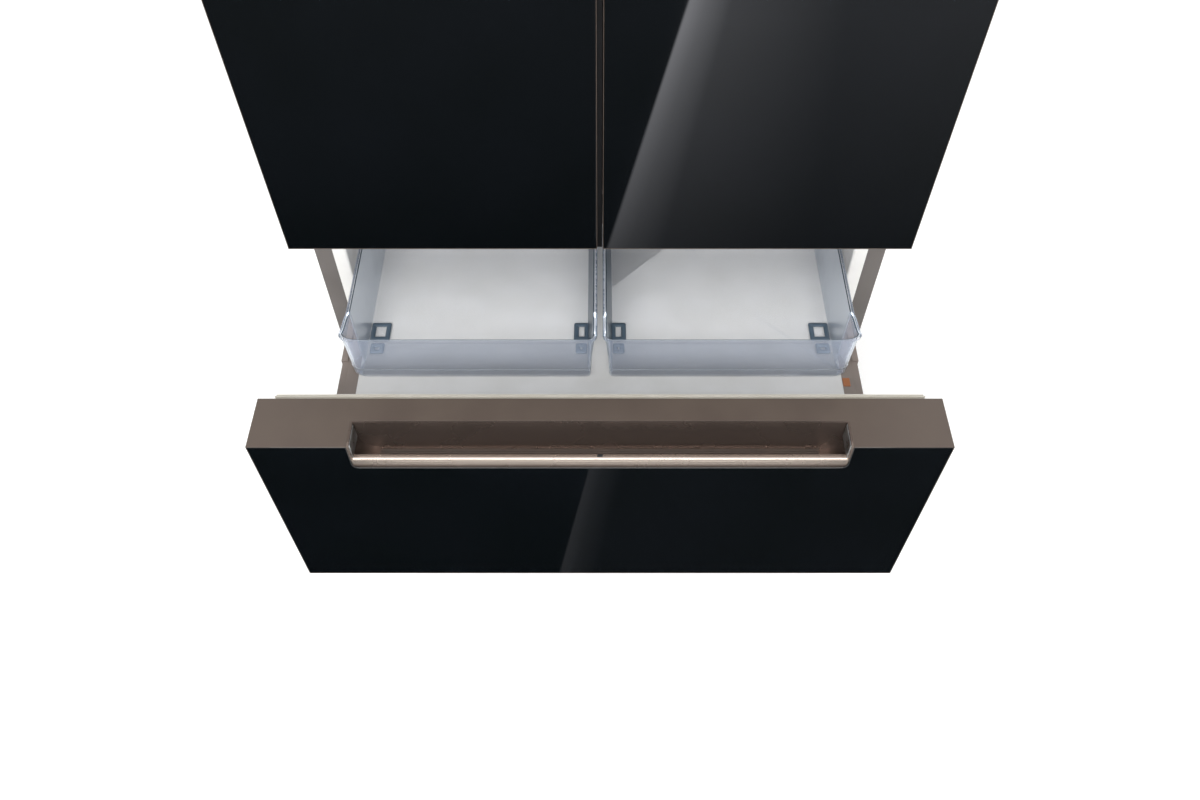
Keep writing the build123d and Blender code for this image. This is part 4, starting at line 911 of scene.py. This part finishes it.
def tub_grid(low, high, wall_mm, draft_mm, foot_mm, corner_mm):
    """The grid of a plain tub between two corners, and its trapped light."""
    insets, heights, trapped = tub_rows(
        low[2], high[2], wall_mm * mm, draft_mm * mm, foot_mm * mm, CLIMB)
    return swept(rectangle(low[:2], high[:2], corner_mm * mm, 10), insets, heights), trapped


def hung_basket(node, body, draft_mm, finish_slot, flange_z):
    """A tub and the two flanges that lie on the arms."""
    low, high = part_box(node)
    half = tray_half - 2 * mm
    corner_mm = 20
    tub, trapped = tub_grid(
        (-half, low.y, low.z), (half, high.y, high.z),
        wall_mm=2.5, draft_mm=draft_mm, foot_mm=14, corner_mm=corner_mm)
    grids = [tub]
    for side in (-1, 1):
        ends = sorted((side * (half - 2 * mm), side * high.x))
        start = (ends[0], low.y + corner_mm * mm, flange_z - BASKET_FLANGE)
        end = (ends[1], high.y - corner_mm * mm, flange_z)
        grids.append(rounded_block(start, end, 0.8))
    mesh = mesh_of(node + ".tub", grids, trapped=[trapped, 0.4, 0.4])
    return put(node + ".tub", mesh, body, finish_slot, replaced=[node])


upper_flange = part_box("upper_drawer_basket")[1].z
lower_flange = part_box("lower_drawer_arms")[1].z + BASKET_FLANGE
hung_basket(
    "upper_drawer_basket", "upper_drawer", draft_mm=8, finish_slot="white_plastic",
    flange_z=upper_flange)
hung_basket(
    "lower_drawer_bin", "lower_drawer", draft_mm=2, finish_slot="clear_plastic",
    flange_z=lower_flange)

for door in ("left_door", "right_door"):
    tubs = [
        tub_grid(low, high, wall_mm=2.5, draft_mm=1.5, foot_mm=9, corner_mm=12)
        for low, high in islands(door + "_racks")
    ]
    grids, trapped = zip(*tubs)
    mesh = mesh_of(door + "_racks.tubs", grids, trapped=trapped)
    put(door + "_racks.tubs", mesh, door, "clear_plastic", replaced=[door + "_racks"])

for word in ("left", "right"):
    node = "crisper_" + word
    low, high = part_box(node)
    front = low.y + 9 * mm
    middle = (low.x + high.x) / 2
    pull = rounded_block(
        (middle - PULL_HALF, low.y, high.z - PULL_HEIGHT),
        (middle + PULL_HALF, front + 2 * mm, high.z), 3)
    tub, trapped = tub_grid(
        (low.x, front, low.z), high, wall_mm=3, draft_mm=1, foot_mm=9, corner_mm=10)
    mesh = mesh_of(node + ".tub", [tub, pull], trapped=[trapped, 0.5])
    put(node + ".tub", mesh, node, "clear_plastic", replaced=[node])
print("each crisper:", len(mesh.vertices), "points")

# %% [markdown]
# ## Compartment liners
# A liner is drawn into its cabinet opening in one pull, so its inside corners are wide rounds and
# its front edge rolls over into a flat land for the gasket. Rows go from the back wall forwards,
# over the roll to the land, round its edge and back along the outside.


# %% Liners
def liner_grid(node, corner_mm):
    """The cavity is the CAD box less the flange, with a quarter circle at back and front."""
    low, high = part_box(node)
    wall = 2.5 * mm
    flange = 22 * mm
    land = 8 * mm
    corner = corner_mm * mm
    line = rectangle(
        (low.x + flange, low.z + land), (high.x - flange, high.z - land), corner, 25)
    grow = growth(line)
    spread = np.abs(grow[:, 0]) * (flange - land) / np.maximum(np.abs(grow).max(1), 0.5)
    turn = np.linspace(0, math.pi / 2, 5)[:, None]
    roll = 4 * mm
    back = high.y - wall
    deep = corner * 0.7
    reach = land + spread[None]
    insets = np.concatenate([
        np.broadcast_to(deep * (1 - np.sin(turn)), (5, len(line))),
        np.broadcast_to(roll * -(1 - np.cos(turn)), (5, len(line))),
        -reach,
        -reach,
        np.full((1, len(line)), -wall),
        np.broadcast_to(deep * (1 - np.sin(turn[::-1])) - wall, (5, len(line))),
    ])
    heights = np.concatenate([
        back - deep * (1 - np.cos(turn)),
        low.y + roll * (1 - np.sin(turn)),
        [[low.y]],
        [[low.y + wall]],
        [[low.y + wall]],
        high.y - deep * (1 - np.cos(turn[::-1])),
    ])
    return swept(line, insets, heights, FACING_BACK)


for node in ("upper_freezer_liner", "lower_freezer_liner"):
    mesh = mesh_of(node + ".drawn", [liner_grid(node, 14)])
    put(node + ".drawn", mesh, "cabinet", "white_plastic", replaced=[node])
softened("fridge_liner", 0.8)
print("liners: 3")

# %% [markdown]
# ## Glass shelves
# A shelf is a toughened pane with ground edges in a white trim along its front. The lowest also
# carries the divider between the crispers.

# %% Shelves
SHELF_GLASS = 4 * mm
TRIM_INSET = 6 * mm
TRIM_HEIGHT = 14 * mm
TRIM_DEPTH = 10 * mm
DIVIDER_HALF = 3 * mm
DIVIDER_START = 29 * mm


def shelf(node):
    """A pane with round edges, a front trim, and the divider if the node has one."""
    low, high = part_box(node)
    plate = rounded_block((low.x, low.y + 2 * mm, high.z - SHELF_GLASS), high, 1)
    put(node + ".pane", mesh_of(node + ".pane", [plate]), "cabinet", "shelf_glass",
        replaced=[node])
    bar_low = (low.x + TRIM_INSET, low.y, high.z - TRIM_HEIGHT)
    bar_high = (high.x - TRIM_INSET, low.y + TRIM_DEPTH, high.z)
    grids = [rounded_block(bar_low, bar_high, 2)]
    if node == "crisper_cover_shelf":
        divider_low = (-DIVIDER_HALF, low.y + DIVIDER_START, low.z)
        divider_high = (DIVIDER_HALF, high.y, high.z - SHELF_GLASS)
        grids.append(rounded_block(divider_low, divider_high, 1))
    put(node + ".trim", mesh_of(node + ".trim", grids), "cabinet", "white_plastic")


for node in ("glass_shelf_upper", "glass_shelf_middle", "crisper_cover_shelf"):
    shelf(node)
print("shelves: 3")

# %% [markdown]
# ## Details of the pocket handle
# A small black plug closes the screw hole in the middle of the lip, and fine grip lines run along
# the pocket's floor behind it. Bright caps close the pocket's ends, and a small plate fills each
# lower corner of the glass notch beside the lip.


# %% Grip lines and plug
POCKET_DROP = 57 * mm
GRIP_DEPTH = 26 * mm
GRIP_LINES = 7
GRIP_HEIGHT = 0.5 * mm
PLUG_HALF = 3.5 * mm


def grip_lines(drawer):
    """The height of the grip lines is the square of a sine across the pocket's floor."""
    low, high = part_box(drawer + "_handle")
    half = notch_half - 30 * mm
    across = np.linspace(0, 1, 61)
    wave = GRIP_HEIGHT * np.sin(across * math.pi * GRIP_LINES) ** 2
    there_and_back = np.concatenate([across, across[::-1]])
    depth = low.y + LIP_THICKNESS + 2 * mm + GRIP_DEPTH * there_and_back
    height = high.z - POCKET_DROP + np.concatenate([wave, np.full(61, -0.3 * mm)])
    grid = np.dstack(np.broadcast_arrays(np.array([[-half], [half]]), depth, height))
    mesh = mesh_of(drawer + "_grip_lines", [grid], crease=60)
    put(drawer + "_grip_lines", mesh, drawer, "bronze_trim")


def plug(drawer):
    """A block with soft edges that stands a little out of the lip's top."""
    low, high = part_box(drawer + "_handle")
    lip_top = high.z - LIP_TOP_DROP
    plug_low = (-PLUG_HALF, low.y + PLUG_HALF, lip_top - 5 * mm)
    plug_high = (PLUG_HALF, low.y + LIP_THICKNESS - 0.4 * mm, lip_top + 0.5 * mm)
    mesh = mesh_of(drawer + "_plug", [rounded_block(plug_low, plug_high, 0.6)])
    put(drawer + "_plug", mesh, drawer, "dark_plastic")


# %% End caps and corner plates
def handle_ends(drawer):
    """A cap that stands in each end of the pocket, and a plate in each corner of the notch."""
    low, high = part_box(drawer + "_handle")
    lip_top = high.z - LIP_TOP_DROP
    caps, corners = [], []
    for side in (-1, 1):
        ends = sorted((side * (notch_half - 2.5 * mm), side * (notch_half - 3.8 * mm)))
        cap_low = (ends[0], low.y + LIP_THICKNESS - 6 * mm, lip_top - 1 * mm)
        caps.append(rounded_block(cap_low, (ends[1], high.y - 4 * mm, high.z - 1 * mm), 0.6))
        ends = sorted((side * (notch_half - 0.3 * mm), side * (notch_half - 18 * mm)))
        corner_low = (ends[0], low.y + 0.5 * mm, high.z - LIP_FOOT_DROP + 0.3 * mm)
        corner_high = (ends[1], low.y + 3.5 * mm, lip_top - 6 * mm)
        corners.append(rounded_block(corner_low, corner_high, 0.6))
    put(drawer + "_end_caps", mesh_of(drawer + "_end_caps", caps), drawer, "zinc_steel")
    # The corner plates take the lip's finish, with its painted highlight and shade.
    lip_corners = mesh_of(drawer + "_lip_corners", corners)
    put(drawer + "_lip_corners", lip_corners, drawer, "bronze_trim", lip_light_finishes[drawer])


for drawer in ("upper_drawer", "lower_drawer"):
    grip_lines(drawer)
    plug(drawer)
    handle_ends(drawer)
print("handles with details: 2, grip lines in each:", GRIP_LINES)

# %% [markdown]
# ## Arm latch
# A small orange-brown latch on the right arm holds the tray. It shows just in front of the bin's
# ear.

# %% Latch
arm_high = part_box("upper_drawer_arms")[1]
latch_low = (tray_half + 0.5 * mm, bin_low.y - 16 * mm, arm_high.z - 3 * mm)
latch_high = (tray_half + 11.5 * mm, bin_low.y - 0.5 * mm, arm_high.z + 2 * mm)
latch = mesh_of("arm_latch", [rounded_block(latch_low, latch_high, 1.2)])
put("arm_latch", latch, "upper_drawer", "grey_plastic", latch_plastic)
print("latch", round((latch_high[1] - latch_low[1]) / mm, 1), "mm long")

# %% [markdown]
# ## Rear
# The back is a plain zinc sheet stiffened by long pressed beads, and two rows of screws hold the
# machine room's cover under it. The beads are pressed inwards by less than the sheet is thick, so
# the sheet stays within the cabinet's depth and clear of the foam.


# %% Back panel
BEAD_SHARES = (0.12, 0.31, 0.5, 0.69, 0.88)
BEAD_HALF = 7 * mm
BEAD_DEPTH = 0.7 * mm
BEAD_END = 40 * mm
SHEET = 0.8 * mm


def back_panel():
    """Each bead's depth goes as exp(-(distance from its line / its half width) to the power 4),
    faded at both ends."""
    low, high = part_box("back_panel")
    x = np.linspace(low.x, high.x, 241)[None]
    z = np.linspace(low.z, high.z, 61)[:, None]
    press = 0
    for share in BEAD_SHARES:
        line = low.x + share * (high.x - low.x)
        press = press + np.exp(-(((x - line) / BEAD_HALF) ** 4))
    fade = np.clip(np.minimum(z - low.z, high.z - z) / BEAD_END - 1, 0, 1)
    depth = high.y - BEAD_DEPTH * press * fade
    grid = np.dstack(np.broadcast_arrays(x, depth, z))
    rows, columns = grid.shape[:2]
    index = np.arange(rows * columns).reshape(rows, columns)
    quads = np.stack([index[:-1, 1:], index[:-1, :-1], index[1:, :-1], index[1:, 1:]], -1)
    mesh = bpy.data.meshes.new("back_panel.beaded")
    mesh.from_pydata(grid.reshape(-1, 3).tolist(), [], quads.reshape(-1, 4).tolist())
    smooth_to(mesh, 40)
    made = put("back_panel.beaded", mesh, "cabinet", "zinc_steel", replaced=["back_panel"])
    wall = made.modifiers.new("sheet", "SOLIDIFY")
    wall.thickness = SHEET
    wall.offset = -1
    return made


back_panel()
print("beads:", len(BEAD_SHARES))

# %% Screws
SCREW_RADIUS = 4 * mm
SCREW_HEIGHT = 2 * mm


def rear_screw(x, y, z):
    """A pan head: its radius falls by the square root of one less height squared."""
    share = np.linspace(0, 0.95, 5)
    radius = SCREW_RADIUS * np.sqrt(1 - share**2)
    turn = np.linspace(0, 2 * math.pi, 20, endpoint=False)
    return np.dstack([
        x + radius[:, None] * np.cos(turn),
        np.broadcast_to((y + SCREW_HEIGHT * share)[:, None], (5, 20)),
        z + radius[:, None] * np.sin(turn),
    ])


cover_low, cover_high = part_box("machine_room_cover")
sheet_y = cover_low.y + 2 * mm
screws = []
for share in (0.03, 0.35, 0.65, 0.97):
    for z in (cover_low.z + 10 * mm, cover_high.z - 10 * mm):
        across = cover_low.x + share * (cover_high.x - cover_low.x)
        screws.append(rear_screw(across, sheet_y, z))
put("rear_screws", mesh_of("rear_screws", screws), "cabinet", "zinc_steel")
print("screws:", len(screws))

# %% [markdown]
# ## Floor and light
# The floor is pale and plain. Its colour alone would come out grey, so a little glow is added
# where the camera or a reflection sees it, and the part's shadow still falls on it. Wide soft
# lamps and a pale sky keep the light near the level at which a colour shows as written, and the
# low one in front reaches over the drawer's front into the bins.

# %% Floor, sky and lamps
FLOOR_HALF = 12
GLOW = 0.26


def seen_directly(tree):
    """One where the camera, a reflection or a refraction looks, and zero for other light."""
    path = add(tree, "LightPath")
    either = add(tree, "Math", {
        0: path.outputs["Is Camera Ray"], 1: path.outputs["Is Glossy Ray"],
    }, operation="MAXIMUM")
    return add(tree, "Math", {
        0: either.outputs[0], 1: path.outputs["Is Transmission Ray"],
    }, operation="MAXIMUM").outputs[0]


floor_finish, floor_tree, floor_shader = new_finish("plaster board, white emulsion", {
    "Base Color": linear("#f4f4f3"), "Roughness": 0.7, "Specular IOR Level": 0.1,
    "Emission Color": linear("#ffffff"),
})
glow = add(floor_tree, "Math", {0: seen_directly(floor_tree), 1: GLOW}, operation="MULTIPLY")
floor_tree.links.new(glow.outputs[0], floor_shader.inputs["Emission Strength"])
floor_mesh = bpy.data.meshes.new("floor")
floor_mesh.from_pydata(
    [(x * FLOOR_HALF, y * FLOOR_HALF, 0) for x, y in ((-1, -1), (1, -1), (1, 1), (-1, 1))],
    [], [(0, 1, 2, 3)])
floor_mesh.materials.append(floor_finish)
floor = bpy.data.objects.new("floor", floor_mesh)
bpy.context.scene.collection.objects.link(floor)
floor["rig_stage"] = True

world = bpy.data.worlds.new("pale studio")
world.use_nodes = True
sky = world.node_tree.nodes["Background"]
sky.inputs["Color"].default_value = linear("#ffffff")
level = add(world.node_tree, "MapRange", {
    "Value": seen_directly(world.node_tree), "To Min": 0.62, "To Max": 1,
})
world.node_tree.links.new(level.outputs["Result"], sky.inputs["Strength"])
bpy.context.scene.world = world


def soft_lamp(name, place, target, size, watts):
    """A rectangular area lamp, as wide and as tall as size says, that faces a target."""
    data = bpy.data.lights.new(name, "AREA")
    data.shape = "RECTANGLE"
    data.size, data.size_y = size
    data.energy = watts
    lamp = bpy.data.objects.new(name, data)
    lamp.location = place
    from_target = np.array(place) - np.array(target)
    pitch = math.atan2(math.hypot(*from_target[:2]), from_target[2])
    lamp.rotation_euler = (pitch, 0, math.atan2(from_target[0], -from_target[1]))
    bpy.context.scene.collection.objects.link(lamp)
    return lamp


soft_lamp("key", (-0.4, -1.6, 3.5), (0, -0.35, 0.7), (3.0, 1.6), 18)
soft_lamp("front", (-0.1, -2.9, 2.75), (0, -0.2, 0.65), (2.8, 1.0), 123)
soft_lamp("fill", (-2.6, -1.2, 2.6), (0, -0.2, 0.9), (2.0, 2.0), 6)
soft_lamp("back", (0.5, 2.8, 2.8), (0, 0.2, 1.0), (2.4, 2.4), 22)
print("lamps:", len(bpy.data.lights))

# %% [markdown]
# ## Camera
# The photograph looks down on the drawer from in front of the doors. Its upright lines meet far
# below and its depth lines meet above, and the two meeting points give the focal length and the
# pitch. The drawer's measured opening then gives the distance.

# %% Camera
PHOTO_WIDTH = 1200
PHOTO_HEIGHT = 800
FOCAL_PIXELS = 996
BEFORE_DOORS = 1.04
CAMERA_HEIGHT = 1.837
SENSOR_MM = 36
door_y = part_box("right_door_glass")[0].y
drawer_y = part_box("upper_drawer_glass")[0].y
camera_pitch = math.radians(36.5)
camera_place = np.array([0, door_y - BEFORE_DOORS, CAMERA_HEIGHT])
camera_data = bpy.data.cameras.new("camera")
camera_data.sensor_width = SENSOR_MM
camera_data.lens = SENSOR_MM * FOCAL_PIXELS / PHOTO_WIDTH
camera = bpy.data.objects.new("camera", camera_data)
camera.location = camera_place
camera.rotation_euler = (camera_pitch, 0, 0)
bpy.context.scene.collection.objects.link(camera)
bpy.context.scene.camera = camera
print("lens", round(camera_data.lens, 2), "mm")

# %% [markdown]
# ## Painted reflections on the black glass
# Black glass shows what stands in front of it more than its own colour. The glare on it is a
# painted reflection: glowing cards, dark with a slanted bright edge that runs down the right door
# and the drawer, lie before the glass though they are no lamps. Each card is level, faces up, and
# only reflections see it. Its bright edge goes through the two places that a camera ray, turned
# back by the glass, meets on the card. The pixels are where the edge starts and ends in the
# photograph. The drawer's card leaves out what the lip of the handle reflects, because the lip
# mirrors the pale floor.


# %% Cards that only reflections see
def reflected_spot(pixel, glass_y, card_z):
    """A ray through a pixel meets the glass, its way along Y turns round, and it goes on down
    to the card's level."""
    across, up = pixel[0] - PHOTO_WIDTH / 2, PHOTO_HEIGHT / 2 - pixel[1]
    sine, cosine = math.sin(camera_pitch), math.cos(camera_pitch)
    ray = np.array([across, up * cosine + FOCAL_PIXELS * sine, up * sine - FOCAL_PIXELS * cosine])
    hit = camera_place + ray * (glass_y - camera_place[1]) / ray[1]
    ray = ray * (1, -1, 1)
    return hit + ray * (card_z - hit[2]) / ray[2]


def painted_reflection_finish(name, edge, stops, glass_y, near_share, strength):
    """Brightness follows the distance across from the slanted edge, and falls to the near share
    towards the glass: this glow is the painted reflection. Other rays than reflections, and those
    from below, go through."""
    upper, lower = edge
    lean = (upper[0] - lower[0]) / (upper[1] - lower[1])
    material = bpy.data.materials.new(name)
    material.use_nodes = True
    tree = material.node_tree
    tree.nodes.clear()
    place = add(tree, "SeparateXYZ", {0: add(tree, "TexCoord").outputs["Object"]})
    slant = add(tree, "Math", {
        0: place.outputs["Y"], 1: -lean, 2: lean * lower[1] - lower[0],
    }, operation="MULTIPLY_ADD")
    across = add(tree, "Math", {0: place.outputs["X"], 1: slant.outputs[0]}, operation="ADD")
    share = add(tree, "MapRange", {
        "Value": across.outputs[0], "From Min": -0.02, "From Max": 0.3,
    })
    tone = ramp(tree, share.outputs["Result"], [
        (position, (grey, grey, grey * 1.06, 1)) for position, grey in stops
    ])
    fall = add(tree, "MapRange", {
        "Value": place.outputs["Y"], "From Min": glass_y, "From Max": glass_y - 0.6,
        "To Min": near_share * strength, "To Max": strength,
    })
    painted_glare = add(tree, "Emission", {
        "Color": tone, "Strength": fall.outputs["Result"],
    })
    front = add(tree, "Math", {
        0: add(tree, "LightPath").outputs["Is Glossy Ray"],
        1: add(tree, "NewGeometry").outputs["Backfacing"],
    }, operation="SUBTRACT", use_clamp=True)
    mixed = add(tree, "MixShader", {
        0: front.outputs[0], 1: add(tree, "BsdfTransparent").outputs[0], 2: painted_glare.outputs[0],
    })
    add(tree, "OutputMaterial", {"Surface": mixed.outputs[0]})
    return material


def card(name, outline_of, card_z, glass_y, edge_pixels, stops, near_share, strength):
    """A flat glowing card that paints a reflection on the glass, with the outline given as places
    across and distances before the glass.
    """
    edge = [reflected_spot(pixel, glass_y, card_z) for pixel in edge_pixels]
    mesh = bpy.data.meshes.new(name)
    corners = [(x, glass_y - before, card_z) for x, before in outline_of]
    mesh.from_pydata(corners, [], [list(range(len(corners)))])
    mesh.materials.append(painted_reflection_finish(name, edge, stops, glass_y, near_share, strength))
    made = bpy.data.objects.new(name, mesh)
    bpy.context.scene.collection.objects.link(made)
    made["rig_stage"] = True
    print(name, "edge from", edge[0].round(3), "to", edge[1].round(3))


CARD_HALF = 1.3
CARD_LENGTH = 1.7
CARD_START = 0.001
CUTOUT_HALF = 0.53
CUTOUT_START = 0.478
DOOR_CARD_Z = 0.792
DRAWER_CARD_Z = 0.012
door_edge_pixels = ((645, 131), (606, 249))
drawer_edge_pixels = ((588, 470), (559, 573))
door_stops = ((0.0, 0.022), (0.06, 0.03), (0.075, 1.0), (0.17, 0.62), (0.32, 0.26), (1.0, 0.1))
drawer_stops = ((0.0, 0.03), (0.06, 0.03), (0.075, 1.0), (0.16, 0.5), (0.3, 0.12), (1.0, 0.1))
door_outline = (
    (-CARD_HALF, CARD_LENGTH), (CARD_HALF, CARD_LENGTH), (CARD_HALF, CARD_START),
    (-CARD_HALF, CARD_START),
)
drawer_outline = (
    (-CARD_HALF, CARD_LENGTH), (-CUTOUT_HALF, CARD_LENGTH), (-CUTOUT_HALF, CUTOUT_START),
    (CUTOUT_HALF, CUTOUT_START), (CUTOUT_HALF, CARD_LENGTH), (CARD_HALF, CARD_LENGTH),
    (CARD_HALF, CARD_START), (-CARD_HALF, CARD_START),
)
# The two cards glow only for reflections and paint the glare on the door and drawer glass.
card("door painted reflection", door_outline, DOOR_CARD_Z, door_y, door_edge_pixels, door_stops,
     near_share=0.2, strength=4.0)
card("drawer painted reflection", drawer_outline, DRAWER_CARD_Z, drawer_y, drawer_edge_pixels, drawer_stops,
     near_share=0.4, strength=0.27)

# %% [markdown]
# ## Sizes at the end
# The view transform is Standard, so a colour comes out as it is written. The box of the dressed
# part and its number of triangles are printed. Nothing may stand out of the CAD box.

# %% Sizes and the end
bpy.context.scene.view_settings.view_transform = "Standard"
low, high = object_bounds()
triangles = sum(len(made.data.loop_triangles) for made in bpy.data.objects if made.type == "MESH")
print("visual box", [round(size / mm, 1) for size in high - low], "mm;", triangles, "triangles")
